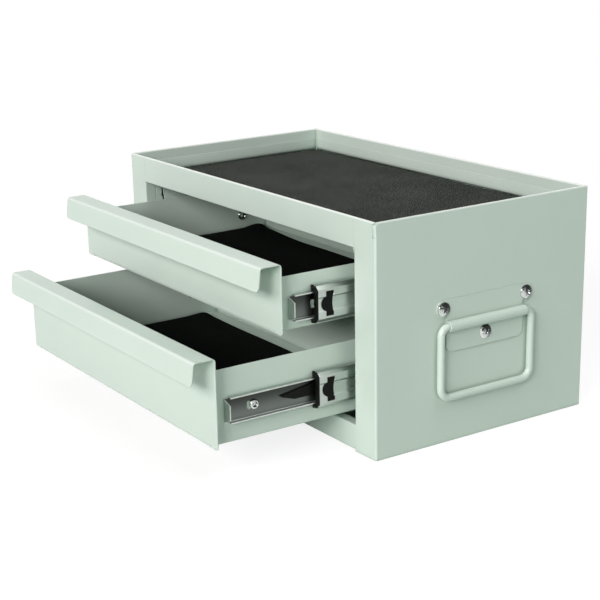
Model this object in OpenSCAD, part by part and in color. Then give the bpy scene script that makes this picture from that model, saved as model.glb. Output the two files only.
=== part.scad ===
// Two-drawer steel socket organizer box with a lined top tray, folding side
// bail handles and telescopic ball-bearing slides. All lengths are millimetres.
// The origin is the centre of the cabinet's underside: X runs across,
// Y runs to the back and Z runs up.

/* [Cabinet] */
// Overall width over the side panels
cabinet_w = 510; // [450:1:600]
// Overall depth from the post faces to the back panel
cabinet_d = 285; // [283:1:360]
// Overall height from the floor to the rim
cabinet_h = 250; // [240:1:320]
// Thickness of the folded sheet steel
sheet_t = 1; // [0.8:0.05:1.1]
// Width of each front post
post_w = 35.5; // [32:0.5:45]
// Height of the rail above the drawers
rail_h = 32; // [28:0.5:40]
// Height of the base pan's front flange
base_rail_h = 27.5; // [20:0.5:34]
// Set-back of the base pan's flange behind the posts
base_rail_back = 2.5; // [1.5:0.5:6]
// Depth of the flanges folded back from the posts and the top rail
return_d = 14; // [10:0.5:18]
// Depth of the hem folded down inside the rim
hem_h = 14; // [8:0.5:20]
// Outside radius of the folds at the post corners
post_bend_r = 2.5; // [1.5:0.25:4]
// Rounding of the rim's front corners
rim_corner_r = 4; // [2:0.5:8]

/* [Slide posts] */
// Gap between each slide and its slotted uprights that the hooks bridge
hook_stand = 4.3; // [3:0.1:6]
// Width of each slotted upright
upright_w = 42; // [36:1:50]
// Width of the lips that weld each upright to its side panel
upright_lip = 9; // [6:0.5:10]
// Height of one hook slot
slot_h = 16; // [13:0.5:20]
// Width of one hook slot
slot_w = 2.4; // [2:0.1:3]
// Distance from a slide's hook slot up to the spare slot
slot_pitch = 23; // [21:0.5:26]

/* [Drawers] */
// Height of the upper drawer front
upper_front_h = 73.5; // [66:0.5:84]
// Gap under the lower drawer front
gap_bottom = 10; // [6:0.5:14]
// Gap between the two drawer fronts
gap_between = 7.6; // [4:0.2:12]
// Gap above the upper drawer front
gap_top = 3.9; // [2:0.1:8]
// Gap at each side of a drawer front
gap_side = 4; // [2:0.25:6]
// Set-back of the closed drawer fronts behind the posts
front_back = 1; // [0:0.25:3]
// Depth of a drawer from its face to its back
drawer_d = 251; // [245:1:260]
// Drop from the top of a drawer front to the top of its sides
side_drop = 17; // [14:0.5:22]
// Rounding of the drawer front's lower corners
front_corner_r = 3.5; // [2:0.25:6]

/* [Drawer lips] */
// Reach of the lip in front of the drawer face
lip_d = 23.9; // [18:0.5:30]
// Height of the lip's front face
lip_h = 24.8; // [18:0.5:32]
// Outward lean of the lip's front face
lip_lean = 2.9; // [0:0.1:5]
// Rounding of the lip's lower corners
lip_corner_r = 8; // [4:0.5:12]
// Radius of the lip's folds at mid thickness
lip_bend_r = 3; // [1.5:0.25:5]

/* [Slides] */
// Installed thickness of one slide
slide_t = 12.7; // [12.7:0.05:13.4]
// Height of the cabinet member
slide_h = 45.5; // [44.5:0.1:47]
// Height of the middle member
mid_h = 38.3; // [37.6:0.1:38.6]
// How much shorter a slide is than its drawer
slide_short = 11; // [0:0.5:20]
// Wall of the slide members
steel_t = 1.2; // [1:0.05:1.25]
// Diameter of the bearing balls
ball_d = 4; // [3.8:0.05:4.1]
// Balls in one row of a cage
ball_count = 6; // [4:1:6]
// Thickness of the ball cages
cage_t = 0.4; // [0.3:0.05:0.5]
// Length of one ball cage
cage_len = 90; // [86:1:92]
// Set-back of the closed slides behind the drawer faces
slide_back = 20.5; // [18:0.5:24]
// Height of the lower slides, as a share of the lower drawer front
lower_slide_share = 0.37; // [0.34:0.01:0.44]
// Height of the upper slides, as a share of the upper drawer front
upper_slide_share = 0.318; // [0.314:0.002:0.36]

/* [Bail handles] */
// Diameter of the bail rod
bail_rod_d = 8; // [6:0.25:9]
// Distance from the cabinet's front and back faces to a bail's sides
bail_in = 77; // [67:0.5:80]
// Drop from a bail's hinge line to the bottom of its rod
bail_drop = 81.2; // [70:0.5:100]
// Radius of the bail's lower corners at the rod's centre
bail_corner_r = 12; // [8:0.5:20]
// Height of the hinge line above the floor
bail_z = 128.2; // [120:0.5:150]
// Thickness of the handle plates
plate_t = 1.5; // [1:0.1:2]
// Distance from a bail's sides to the ends of its rolled barrel
barrel_in = 13; // [13:0.5:20]
// Distance from a bail's sides in to the plate's upper screws
plate_screw_in = 9.5; // [9.5:0.5:13]
// Height of the upper screws above the hinge line
plate_screw_up = 18.6; // [18:0.2:24]
// Depth of the lower screw under the hinge line
plate_screw_down = 14.9; // [14:0.2:20]
// Radius of the plate's ears round the upper screws
ear_r = 9.5; // [8:0.25:11]
// Distance from the lower screw down to the plate's edge
plate_below = 13.8; // [9:0.2:18]
// Rounding of the plate's lower corners
plate_corner_r = 8; // [4:0.5:12]

/* [Fasteners] */
// Diameter of a handle screw's head
screw_head_d = 13.5; // [11:0.25:14]
// Height of a handle screw's head
screw_head_h = 3.6; // [2.4:0.1:4.2]
// Diameter of a handle screw's shank
screw_d = 6; // [4:0.1:6]
// Diameter of a slide rivet's head
rivet_head_d = 10.5; // [8:0.1:12]
// Height of a slide rivet's head
rivet_head_h = 2.8; // [1.6:0.1:3]
// Diameter of a slide rivet's shank
rivet_d = 5; // [4:0.1:5.2]

/* [Mats] */
// Thickness of the top tray's mat
tray_mat_t = 1.5; // [1:0.1:4]
// Thickness of the drawer mats
drawer_mat_t = 2.5; // [1:0.1:4]

/* [Pose] */
// How far the upper slides' middle members stand out
upper_mid_open = 61; // [0:0.5:115]
// How far the upper drawer stands out from its middle members
upper_reach = 25; // [0:0.5:115]
// How far the lower slides' middle members stand out
lower_mid_open = 61; // [0:0.5:115]
// How far the lower drawer stands out from its middle members
lower_reach = 103.5; // [0:0.5:115]

/* [Hidden] */

mint = [0.79, 0.85, 0.81];
zinc = [0.72, 0.73, 0.72];
dark_zinc = [0.42, 0.43, 0.42];
chrome = [0.85, 0.85, 0.86];
black_plastic = [0.09, 0.09, 0.08];
mat_grey = [0.15, 0.16, 0.15];

// Fits and cuts
lap_gap = 0.1;
weld_gap = 0.05;
mat_gap = 0.4;
overrun = 2;
bend_steps = 4;
round_steps = 12;
least_step = 0.001;

// Cabinet places
half_w = cabinet_w / 2;
half_d = cabinet_d / 2;
opening_half = half_w - post_w;
opening_top = cabinet_h - rail_h;
mid_sheet = sheet_t / 2;
lap = sheet_t + lap_gap;
rim_t = sheet_t + 2 * lap;
rim_bend_r = lap;
tray_lift = 0.2;
tray_floor = opening_top + sheet_t + tray_lift;
tray_corner_r = 2.2;
tray_top = cabinet_h - sheet_t - lap;
tray_half_w = half_w - lap;
tray_half_d = half_d - lap;
weld_flange = 12;
base_flange_h = 15;
slot_from_front = 10;
slot_from_end = 4;
upright_gap = 0.2;
upright_front = return_d + mid_sheet + upright_gap;
upright_bend_r = 0.6;
hook_up = 12;
slot_step = 1;

// Drawer places
face_y = -half_d + front_back;
front_half = opening_half - gap_side;
drawer_half = opening_half - hook_stand - slide_t;
lower_base = base_rail_h + gap_bottom;
upper_base = opening_top - gap_top - upper_front_h;
lower_front_h = upper_base - gap_between - lower_base;
floor_bend_r = 2;
relief_r = 1.1;
ear_relief = floor_bend_r + mid_sheet;

// Slide places
slide_y = face_y + slide_back;
slide_len = drawer_d - slide_short;
lower_z = lower_base + lower_slide_share * lower_front_h;
upper_z = upper_base + upper_slide_share * upper_front_h;
ball_gap = 0.1;
cage_gap = 0.2;
slip = 0.6;
race_r = ball_d / 2 + ball_gap;
half_steel = steel_t / 2;
outer_web = slide_t - half_steel;
outer_flange = slide_h / 2 - half_steel;
outer_ball = [outer_web - half_steel - race_r, outer_flange - half_steel - race_r];
outer_lip = outer_ball.x - race_r - half_steel;
web_recess = 1;
band_half = 7.2;
band_slope = 0.8;
mid_band = slide_t - steel_t - cage_t - 2 * cage_gap - half_steel;
mid_web = mid_band - web_recess;
mid_flange = mid_h / 2 - half_steel;
mid_slant = outer_ball.x + outer_ball.y - sqrt(2) * (race_r + half_steel);
inner_ball_v = mid_flange - half_steel - race_r;
inner_ball = [mid_slant - sqrt(2) * (race_r + half_steel) - inner_ball_v, inner_ball_v];
mid_lip = inner_ball.x - race_r - half_steel;
lip_drop = 1.2;
track_half = inner_ball.y - race_r;
track_flange_past = 1.35;
track_tip = inner_ball.x + track_flange_past;
mid_shorter = 2;
track_shorter = 10;
track_lead = 4.5;
mid_len = slide_len - mid_shorter;
track_len = slide_len - track_shorter + track_lead;
small_bend_r = 1;
cage_start = 80.5;
ball_pitch = cage_len / ball_count;
finger = 1.35;
hook_t = 1.5;
hook_h = 7.5;
hook_reach = 2.2;
hook_drop = 4;
hook_shoulder = 3;
front_upright_y = -half_d + upright_front;
rear_upright_y = slide_y + slide_len - upright_w - slot_from_end;
front_slot_y = front_upright_y + slot_from_front;
rear_slot_y = rear_upright_y + upright_w - slot_from_front;
outer_strip = outer_web - half_steel - cage_gap - cage_t / 2;
inner_strip = mid_web - half_steel - cage_gap - cage_t / 2;
upper_out = upper_mid_open + upper_reach;
lower_out = lower_mid_open + lower_reach;

// Section lines of the slide members, from the upper edge inward
outer_half_line = [
    [outer_lip, mid_h / 2 + slip],
    [outer_lip, outer_flange],
    [outer_web, outer_flange]
];
outer_radii = [half_steel + ball_gap, race_r + half_steel];

mid_half_line = [
    [mid_lip, inner_ball.y - lip_drop],
    [mid_lip, mid_flange],
    [mid_slant - mid_flange, mid_flange],
    [mid_band, mid_slant - mid_band],
    [mid_band, band_half + band_slope],
    [mid_web, band_half - band_slope]
];
mid_radii = [small_bend_r, small_bend_r, small_bend_r, half_steel + ball_gap, half_steel + ball_gap];

track_half_line = [
    [track_tip, track_half - half_steel],
    [half_steel, track_half - half_steel]
];
track_radii = [small_bend_r];

// End clips on the middle members
clip_lead = 3;
clip_over = 0.7;
clip_window_gap = 0.35;
clip_plate_t = 1;
clip_plate_len = 21;
clip_half = 13;
clip_from = 9.6;
clip_to = 19;
clip_bulge_r = 8.2;
clip_bulge_from = 12.5;
clip_bite_r = 20;
clip_bite = 2.5;
clip_play = 0.1;
clip_low = 0.4;
clip_window_half = track_half + clip_window_gap;
clip_half_line = [
    [mid_lip - half_steel - clip_over, clip_window_half],
    [mid_lip - half_steel - clip_over, mid_flange + half_steel + clip_over],
    [mid_slant - mid_flange, mid_flange + half_steel + clip_over],
    [mid_band + half_steel + clip_over, mid_slant - mid_band]
];

// Drawer members, rivets and release levers
tab_root_half = 11.6;
tab_tip_half = 7.6;
tab_reach = 11.6;
track_nose = 4.4;
track_nose_half = 12.4;
rivet_front = 34.4;
rivet_rear = 0.842 * track_len;
rivet_drop = 3.2;
rivet_places = [[rivet_front, 0], [rivet_rear, -rivet_drop]];
hole_play = 0.05;
adjust_slot_at = 28.4;
adjust_slot_w = 4.4;
adjust_slot_h = 9;
rivet_bore_d = 3.6;
rivet_tail_h = 2;
rivet_tail_past = 2.6;
lever_t = 2.4;
lever_pivot = [117.8, 1.5];
lever_pin_d = 4;
lever_pin_head_d = 6.5;
lever_pin_head_h = 0.8;
lever_lift = 0.2;
lever_from = 64.8;
lever_len = 72;
lever_h = 7.6;
lever_shares = [
    [0, 0.21], [0.035, 0], [0.235, -0.58], [0.82, -0.6], [1, -0.4],
    [1, 0.48], [0.86, 0.97], [0.56, 1]
];

// Bail handles
rod_r = bail_rod_d / 2;
rod_gap = 0.2;
rod_lift = 0.3;
rod_out = rod_r + rod_lift;
bail_w = cabinet_d - 2 * bail_in;
barrel_len = bail_w - 2 * barrel_in;
plate_screw_span = bail_w - 2 * plate_screw_in;
bail_half = bail_w / 2 - rod_r;
bail_top_r = bail_half - barrel_len / 2 - weld_gap;
neck_r = 2.4;
nut_af = 10;
nut_h = 5;
thread_play = 0.05;
shank_past = 1;
screw_places = [
    [-plate_screw_span / 2, bail_z + plate_screw_up],
    [plate_screw_span / 2, bail_z + plate_screw_up],
    [0, bail_z - plate_screw_down]
];

// Folded sheet outlines
function unit(v) = v / norm(v);
function turned(v) = [-v.y, v.x];
function fold_side(a, b, c) = sign(cross(b - a, c - b));

// Points of one fold of radius r at corner b of the line a, b, c
function fold(a, b, c, r) =
    let (
        u = unit(a - b),
        w = unit(c - b),
        half = acos(max(-1, min(1, u * w))) / 2,
        centre = b + unit(u + w) * r / sin(half),
        first = b + u * r / tan(half) - centre,
        start = atan2(first.y, first.x),
        sweep = fold_side(a, b, c) * (180 - 2 * half)
    )
    [for (i = [0 : bend_steps])
        let (turn = start + sweep * i / bend_steps)
        centre + r * [cos(turn), sin(turn)]];

// Drops each point that repeats the one before it
function spaced(line) = [
    for (i = [0 : len(line) - 1])
        if (i == 0 || norm(line[i] - line[max(i, 1) - 1]) > least_step)
            line[i]
];

// A line through the points with a fold of its own radius at each inner point
function folded(points, radii) =
    let (last = len(points) - 1)
    spaced(concat(
        [points[0]],
        [for (i = [1 : last - 1]) each fold(points[i - 1], points[i], points[i + 1], radii[i - 1])],
        [points[last]]
    ));

// The line moved sideways by a distance
function beside(line, distance) =
    let (last = len(line) - 1)
    [for (i = [0 : last])
        let (
            before = turned(unit(line[max(i, 1)] - line[max(i, 1) - 1])),
            after = turned(unit(line[min(i, last - 1) + 1] - line[min(i, last - 1)])),
            middle = unit(before + after)
        )
        line[i] + middle * distance / (middle * before)];

function reversed(list) = [for (i = [len(list) - 1 : -1 : 0]) list[i]];

// Outline of a sheet of thickness t that follows the line
function sheet_outline(line, t) = concat(beside(line, t / 2), reversed(beside(line, -t / 2)));

module folded_sheet(points, radii, t = sheet_t) {
    polygon(sheet_outline(folded(points, radii), t));
}

// A profile drawn in X and Z, pushed along Y
module along_y(from, to) {
    translate([0, to, 0])
    rotate([90, 0, 0])
    linear_extrude(to - from)
    children();
}

// A profile drawn in Y and Z, pushed along X
module along_x(from, to) {
    translate([from, 0, 0])
    rotate([90, 0, 90])
    linear_extrude(to - from)
    children();
}

module block(low, high) {
    translate(low)
    cube(high - low);
}

// The parts are drawn on the right and mirrored for the left
module on_side(side) {
    mirror([side < 0 ? 1 : 0, 0, 0])
    children();
}

module both_sides() {
    children();
    mirror([1, 0, 0])
    children();
}

// Cabinet shell
module side_panel(side) {
    hem_line = [
        [half_w - rim_t + mid_sheet, cabinet_h - hem_h],
        [half_w - rim_t + mid_sheet, cabinet_h - mid_sheet],
        [half_w - mid_sheet, cabinet_h - mid_sheet],
        [half_w - mid_sheet, cabinet_h - hem_h]
    ];
    post_hem_line = [
        [-half_d + rim_t - mid_sheet, cabinet_h - hem_h],
        [-half_d + rim_t - mid_sheet, cabinet_h - mid_sheet],
        [-half_d + mid_sheet, cabinet_h - mid_sheet],
        [-half_d + mid_sheet, cabinet_h - hem_h]
    ];
    wall_top = cabinet_h - lap - mid_sheet;
    inner_end = opening_half + post_w / 2;
    color(mint)
    on_side(side)
    difference() {
        union() {
            linear_extrude(wall_top)
            folded_sheet(
                [[inner_end - sheet_t, -half_d + mid_sheet],
                 [half_w - mid_sheet, -half_d + mid_sheet],
                 [half_w - mid_sheet, half_d]],
                [post_bend_r - mid_sheet]
            );
            translate([0, 0, lap])
            linear_extrude(opening_top + sheet_t - lap)
            folded_sheet(
                [[opening_half + mid_sheet, -half_d + return_d],
                 [opening_half + mid_sheet, -half_d + mid_sheet],
                 [inner_end, -half_d + mid_sheet]],
                [lap]
            );
            block([opening_half, -half_d, 0], [inner_end, -half_d + sheet_t, lap]);
            block([opening_half, -half_d, opening_top], [inner_end, -half_d + sheet_t, wall_top]);
            along_y(-half_d + lap, half_d)
            folded_sheet(hem_line, [rim_bend_r, rim_bend_r]);
            along_x(opening_half + lap_gap, half_w - rim_t - lap_gap)
            folded_sheet(post_hem_line, [rim_bend_r, rim_bend_r]);
        }
        rim_corner_cut();
        for (way = [-1, 1]) {
            hem_end_cut(way);
        }
        for (place = screw_places) {
            translate([half_w - overrun, place.x, place.y])
            rotate([0, 90, 0])
            cylinder(r = screw_d / 2 + hole_play, h = 2 * overrun, $fn = 32);
        }
    }
}

// What the rounding takes off the rim's front corner
module rim_corner_cut() {
    along_y(-half_d - overrun, -half_d + rim_t)
    difference() {
        translate([half_w - rim_corner_r, cabinet_h - rim_corner_r])
        square(rim_corner_r + overrun);
        translate([half_w - rim_corner_r, cabinet_h - rim_corner_r])
        circle(rim_corner_r, $fn = 48);
    }
}

// Room for the tray's front or rear wall at the end of the side hem
module hem_end_cut(way) {
    mirror([0, way < 0 ? 1 : 0, 0])
    block(
        [half_w - rim_t - overrun, tray_half_d - sheet_t - lap_gap, cabinet_h - hem_h - overrun],
        [half_w - lap, half_d + overrun, tray_top + lap_gap]
    );
}

module back_panel() {
    inner_half = half_w - sheet_t - weld_gap;
    color(mint)
    union() {
        block([-inner_half, half_d - sheet_t, 0], [inner_half, half_d, base_flange_h + 2 * lap]);
        translate([0, 0, base_flange_h + lap_gap])
        linear_extrude(opening_top - base_flange_h - lap)
        folded_sheet(
            [[-inner_half + mid_sheet, half_d - weld_flange],
             [-inner_half + mid_sheet, half_d - mid_sheet],
             [inner_half - mid_sheet, half_d - mid_sheet],
             [inner_half - mid_sheet, half_d - weld_flange]],
            [post_bend_r - mid_sheet, post_bend_r - mid_sheet]
        );
        along_x(-half_w + rim_t + lap_gap, half_w - rim_t - lap_gap)
        folded_sheet(
            [[half_d - rim_t + mid_sheet, cabinet_h - hem_h],
             [half_d - rim_t + mid_sheet, cabinet_h - mid_sheet],
             [half_d - mid_sheet, cabinet_h - mid_sheet],
             [half_d - mid_sheet, opening_top - hem_h]],
            [rim_bend_r, rim_bend_r]
        );
        both_sides()
        back_ear(inner_half);
    }
}

// Strip that closes the panel's upper corner under and inside a side hem
module back_ear(end) {
    low = opening_top - hem_h;
    block(
        [half_w - rim_t - sheet_t, half_d - sheet_t, low],
        [end, half_d, cabinet_h - hem_h - weld_gap]
    );
    block(
        [half_w - rim_t + lap, half_d - sheet_t, low],
        [end, half_d, cabinet_h - lap - mid_sheet]
    );
}

module front_top_rail() {
    end = opening_half - lap_gap;
    color(mint)
    along_x(-end, end)
    folded_sheet(
        [[-half_d + rim_t - mid_sheet, cabinet_h - hem_h],
         [-half_d + rim_t - mid_sheet, cabinet_h - mid_sheet],
         [-half_d + mid_sheet, cabinet_h - mid_sheet],
         [-half_d + mid_sheet, opening_top + mid_sheet],
         [-half_d + return_d, opening_top + mid_sheet]],
        [rim_bend_r, rim_bend_r, sheet_t]
    );
}

module top_tray() {
    color(mint)
    difference() {
        translate([0, 0, tray_floor])
        linear_extrude(tray_top - tray_floor)
        rounded_box(tray_half_w, tray_half_d, tray_corner_r);
        translate([0, 0, tray_floor + sheet_t])
        linear_extrude(tray_top - tray_floor)
        rounded_box(tray_half_w - sheet_t, tray_half_d - sheet_t, tray_corner_r - sheet_t);
    }
}

// Rectangle with its four corners rounded
module rounded_box(half_x, half_y, r) {
    for (x = [-1, 1], y = [-1, 1]) {
        translate([x * (half_x - r), y * (half_y - r)])
        circle(r, $fn = 48);
    }
    square([2 * half_x, 2 * (half_y - r)], center = true);
    square([2 * (half_x - r), 2 * half_y], center = true);
}

module base_pan() {
    inner_half = half_w - sheet_t - weld_gap;
    rear = half_d - sheet_t - weld_gap;
    front = -half_d + base_rail_back;
    side_front = -half_d + return_d + lap_gap;
    rail_end = opening_half - lap_gap;
    color(mint)
    union() {
        along_x(-rail_end, rail_end)
        folded_sheet(
            [[front + weld_flange, base_rail_h - mid_sheet],
             [front + mid_sheet, base_rail_h - mid_sheet],
             [front + mid_sheet, mid_sheet],
             [side_front + sheet_t, mid_sheet]],
            [sheet_t, sheet_t]
        );
        along_y(side_front, rear)
        folded_sheet(
            [[-inner_half + mid_sheet, base_flange_h],
             [-inner_half + mid_sheet, mid_sheet],
             [inner_half - mid_sheet, mid_sheet],
             [inner_half - mid_sheet, base_flange_h]],
            [sheet_t, sheet_t]
        );
    }
}

// Slotted upright that the slides hook into
module upright(side, y, slot_y) {
    web = opening_half + mid_sheet;
    lip = half_w - sheet_t - mid_sheet - weld_gap;
    bottom = sheet_t + weld_gap;
    top = tray_floor - weld_gap;
    color(mint)
    on_side(side)
    difference() {
        translate([0, 0, bottom])
        linear_extrude(top - bottom)
        folded_sheet(
            [[lip, y - upright_lip],
             [lip, y],
             [web, y],
             [web, y + upright_w],
             [lip, y + upright_w],
             [lip, y + upright_w + upright_lip]],
            [sheet_t, upright_bend_r, sheet_t, sheet_t]
        );
        // Room for the base pan's side flanges
        block(
            [lip - sheet_t, y - upright_lip - overrun, -overrun],
            [half_w, y + upright_w + upright_lip + overrun, base_flange_h + lap_gap]
        );
        for (z = [lower_z, upper_z], step = [0, slot_pitch]) {
            translate([web, slot_y, z + hook_up + step])
            along_x(-overrun, overrun)
            hook_slot();
        }
    }
}

// Slot whose upper half steps forward, with a round at the step
module hook_slot() {
    translate([-slot_w / 2, -slot_h / 2])
    square([slot_w, slot_h / 2]);
    translate([-slot_w / 2 - slot_step, 0])
    square([slot_w, slot_h / 2]);
    translate([-slot_w / 2 - slot_step / 2, 0])
    circle(slot_w / 2 + slot_step / 2, $fn = 32);
}

module top_tray_mat() {
    inner_w = tray_half_w - sheet_t - mat_gap;
    inner_d = tray_half_d - sheet_t - mat_gap;
    color(mat_grey)
    block(
        [-inner_w, -inner_d, tray_floor + sheet_t],
        [inner_w, inner_d, tray_floor + sheet_t + tray_mat_t]
    );
}

// Places a slide profile, drawn outward from the drawer's side
module slide_run(side, z, y, length) {
    on_side(side)
    translate([drawer_half, 0, z])
    along_y(y, y + length)
    children();
}

// A member's line is given for its upper half and reflected
function whole_line(half) = concat(half, [for (p = reversed(half)) [p.x, -p.y]]);

function both_radii(half) = concat(half, reversed(half));

// Cabinet member with its two hooks
module outer_slide(side, z) {
    color(zinc)
    union() {
        slide_run(side, z, slide_y, slide_len)
        folded_sheet(whole_line(outer_half_line), both_radii(outer_radii), steel_t);
        on_side(side)
        for (hook_y = [front_slot_y, rear_slot_y]) {
            slide_hook(z, hook_y);
        }
    }
}

// Hook that drops through a slot and behind the upright
module slide_hook(z, y) {
    stand = hook_stand - weld_gap;
    back = hook_stand + sheet_t + lap_gap;
    low = hook_up - slot_h / 2 + weld_gap;
    translate([drawer_half + slide_t, 0, z])
    along_y(y - hook_t / 2, y + hook_t / 2)
    polygon([
        [-half_steel, low - hook_shoulder],
        [stand, low - hook_shoulder],
        [stand, low],
        [back, low],
        [back, low - hook_drop],
        [back + hook_reach, low - hook_drop],
        [back + hook_reach, low + hook_h],
        [-half_steel, low + hook_h]
    ]);
}

// Outline of the crescent clip, drawn back from the member's front end and up
module crescent(play = 0) {
    difference() {
        union() {
            translate([clip_from - play, -clip_half - play])
            square([clip_to - clip_from + 2 * play, 2 * (clip_half + play)]);
            translate([clip_bulge_from, 0])
            circle(clip_bulge_r + play, $fn = 64);
        }
        translate([clip_to - clip_bite + clip_bite_r, 0])
        circle(clip_bite_r - play, $fn = 96);
    }
}

// Middle member with its crescent cut-out
module mid_slide(side, z, open) {
    front = slide_y - open;
    color(zinc)
    difference() {
        slide_run(side, z, front, mid_len)
        folded_sheet(whole_line(mid_half_line), both_radii(mid_radii), steel_t);
        on_side(side)
        translate([drawer_half, front, z])
        along_x(mid_web - steel_t - web_recess, slide_t)
        crescent(clip_play);
    }
}

// Plastic end piece that snaps into the middle member
module end_clip(side, z, open) {
    front = slide_y - open;
    plate_in = mid_web - half_steel - weld_gap;
    color(black_plastic)
    union() {
        slide_run(side, z, front - clip_lead, clip_lead - weld_gap)
        polygon(concat(
            whole_line(clip_half_line),
            [[plate_in - clip_plate_t, -clip_window_half], [plate_in - clip_plate_t, clip_window_half]]
        ));
        on_side(side)
        translate([drawer_half, front, z]) {
            along_x(plate_in - clip_plate_t, mid_band + half_steel - clip_low)
            crescent();
            block(
                [plate_in - clip_plate_t, -clip_lead, -band_half + band_slope + half_steel],
                [plate_in, clip_plate_len, band_half - band_slope - half_steel]
            );
        }
    }
}

module end_clips(z, open) {
    end_clip(1, z, open);
    end_clip(-1, z, open);
}

// Line of a ball cage's upper half for balls centred at one point
function cage_half_line(ball, strip) = [
    [ball.x - finger, ball.y + finger],
    [strip, ball.x + ball.y - strip]
];

module cage_holes(ball, y) {
    for (i = [0 : ball_count - 1], way = [-1, 1]) {
        translate([ball.x, y + ball_pitch * (i + 1 / 2), way * ball.y])
        rotate([0, way > 0 ? 45 : 135, 0])
        cylinder(r = race_r, h = race_r * 2, center = true, $fn = 32);
    }
}

module ball_cage(side, z, y, ball, strip) {
    difference() {
        slide_run(side, z, y, cage_len)
        folded_sheet(whole_line(cage_half_line(ball, strip)), [half_steel, half_steel], cage_t);
        on_side(side)
        translate([drawer_half, 0, z])
        cage_holes(ball, y);
    }
}

module ball_rows(side, z, y, ball) {
    on_side(side)
    translate([drawer_half, 0, z])
    for (i = [0 : ball_count - 1], way = [-1, 1]) {
        translate([ball.x, y + ball_pitch * (i + 1 / 2), way * ball.y])
        sphere(d = ball_d, $fn = 24);
    }
}

function outer_cage_y(open) = slide_y + cage_start - open / 2;
function inner_cage_y(open, reach) = slide_y + cage_start - open - reach / 2;

module outer_cages(z, open) {
    color(zinc)
    for (side = [-1, 1]) {
        ball_cage(side, z, outer_cage_y(open), outer_ball, outer_strip);
    }
}

module outer_balls(z, open) {
    color(chrome)
    for (side = [-1, 1]) {
        ball_rows(side, z, outer_cage_y(open), outer_ball);
    }
}

module inner_cages(z, open, reach) {
    color(zinc)
    for (side = [-1, 1]) {
        ball_cage(side, z, inner_cage_y(open, reach), inner_ball, inner_strip);
    }
}

module inner_balls(z, open, reach) {
    color(chrome)
    for (side = [-1, 1]) {
        ball_rows(side, z, inner_cage_y(open, reach), inner_ball);
    }
}

function track_front(out) = slide_y - track_lead - out;

// Channel that is riveted to the drawer's side
module drawer_slide(side, z, out) {
    front = track_front(out);
    color(dark_zinc)
    difference() {
        union() {
            slide_run(side, z, front, track_len)
            folded_sheet(whole_line(track_half_line), both_radii(track_radii), steel_t);
            on_side(side)
            translate([drawer_half, front, z])
            front_tab();
        }
        on_side(side)
        translate([drawer_half, front, z]) {
            for (place = rivet_places) {
                through_hole(place.x, place.y, rivet_d / 2 + hole_play);
            }
            through_hole(lever_pivot.x, lever_pivot.y, lever_pin_d / 2 + hole_play);
            adjust_slot();
            for (way = [-1, 1]) {
                nose_cut(way);
            }
        }
    }
}

// Folded stop at the front end of the drawer member
module front_tab() {
    rotate([90, 0, 0])
    translate([0, 0, -steel_t])
    linear_extrude(steel_t)
    polygon([
        [half_steel, -tab_root_half],
        [tab_reach, -tab_tip_half],
        [tab_reach, tab_tip_half],
        [half_steel, tab_root_half]
    ]);
}

// Takes the flange's front end off beside the stop
module nose_cut(way) {
    mirror([0, 0, way < 0 ? 1 : 0])
    block([-overrun, -overrun, track_nose_half], [track_tip + overrun, track_nose, track_half + overrun]);
}

module through_hole(y, z, r) {
    translate([-overrun, y, z])
    rotate([0, 90, 0])
    cylinder(r = r, h = steel_t + 2 * overrun, $fn = 32);
}

module adjust_slot() {
    straight = (adjust_slot_h - adjust_slot_w) / 2;
    for (way = [-1, 1]) {
        through_hole(adjust_slot_at, way * straight, adjust_slot_w / 2);
    }
    block(
        [-overrun, adjust_slot_at - adjust_slot_w / 2, -straight],
        [steel_t + overrun, adjust_slot_at + adjust_slot_w / 2, straight]
    );
}

// Rivets that fix the drawer members
module slide_rivets(z, out) {
    color(chrome)
    for (side = [-1, 1], place = rivet_places) {
        on_side(side)
        translate([drawer_half, track_front(out) + place.x, z + place.y])
        rotate([0, 90, 0])
        slide_rivet();
    }
}

module slide_rivet() {
    cap_r = ((rivet_head_d / 2) ^ 2 + rivet_head_h ^ 2) / (2 * rivet_head_h);
    tail_r = rivet_d / 2 + rivet_tail_past;
    difference() {
        union() {
            translate([0, 0, -sheet_t - rivet_tail_h])
            cylinder(d = rivet_d, h = sheet_t + rivet_tail_h + steel_t + rivet_head_h / 2, $fn = 32);
            translate([0, 0, -sheet_t - rivet_tail_h])
            cylinder(r1 = rivet_d / 2, r2 = tail_r, h = rivet_tail_h - weld_gap, $fn = 32);
            intersection() {
                translate([0, 0, steel_t + rivet_head_h - cap_r])
                sphere(r = cap_r, $fn = 48);
                translate([0, 0, steel_t + weld_gap])
                cylinder(d = rivet_head_d, h = rivet_head_h, $fn = 48);
            }
        }
        translate([0, 0, -sheet_t - rivet_tail_h - overrun])
        cylinder(d = rivet_bore_d, h = 2 * (rivet_tail_h + overrun + rivet_head_h) + steel_t, $fn = 32);
    }
}

// Flat plastic lever that frees the drawer from its slides
module release_lever(side, z, out) {
    color(black_plastic)
    on_side(side)
    translate([drawer_half, track_front(out), z])
    along_x(steel_t + lever_lift, steel_t + lever_lift + lever_t)
    difference() {
        polygon([for (s = lever_shares) [lever_from + s.x * lever_len, s.y * lever_h]]);
        translate(lever_pivot)
        circle(lever_pin_d / 2 + hole_play, $fn = 32);
    }
}

module lever_pins(z, out) {
    head_from = steel_t + lever_t + 2 * lever_lift;
    color(chrome)
    for (side = [-1, 1]) {
        on_side(side)
        translate([drawer_half, track_front(out) + lever_pivot.x, z + lever_pivot.y])
        rotate([0, 90, 0]) {
            cylinder(d = lever_pin_d, h = head_from + lever_pin_head_h, $fn = 32);
            translate([0, 0, head_from])
            cylinder(d = lever_pin_head_d, h = lever_pin_head_h, $fn = 32);
        }
    }
}

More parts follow.
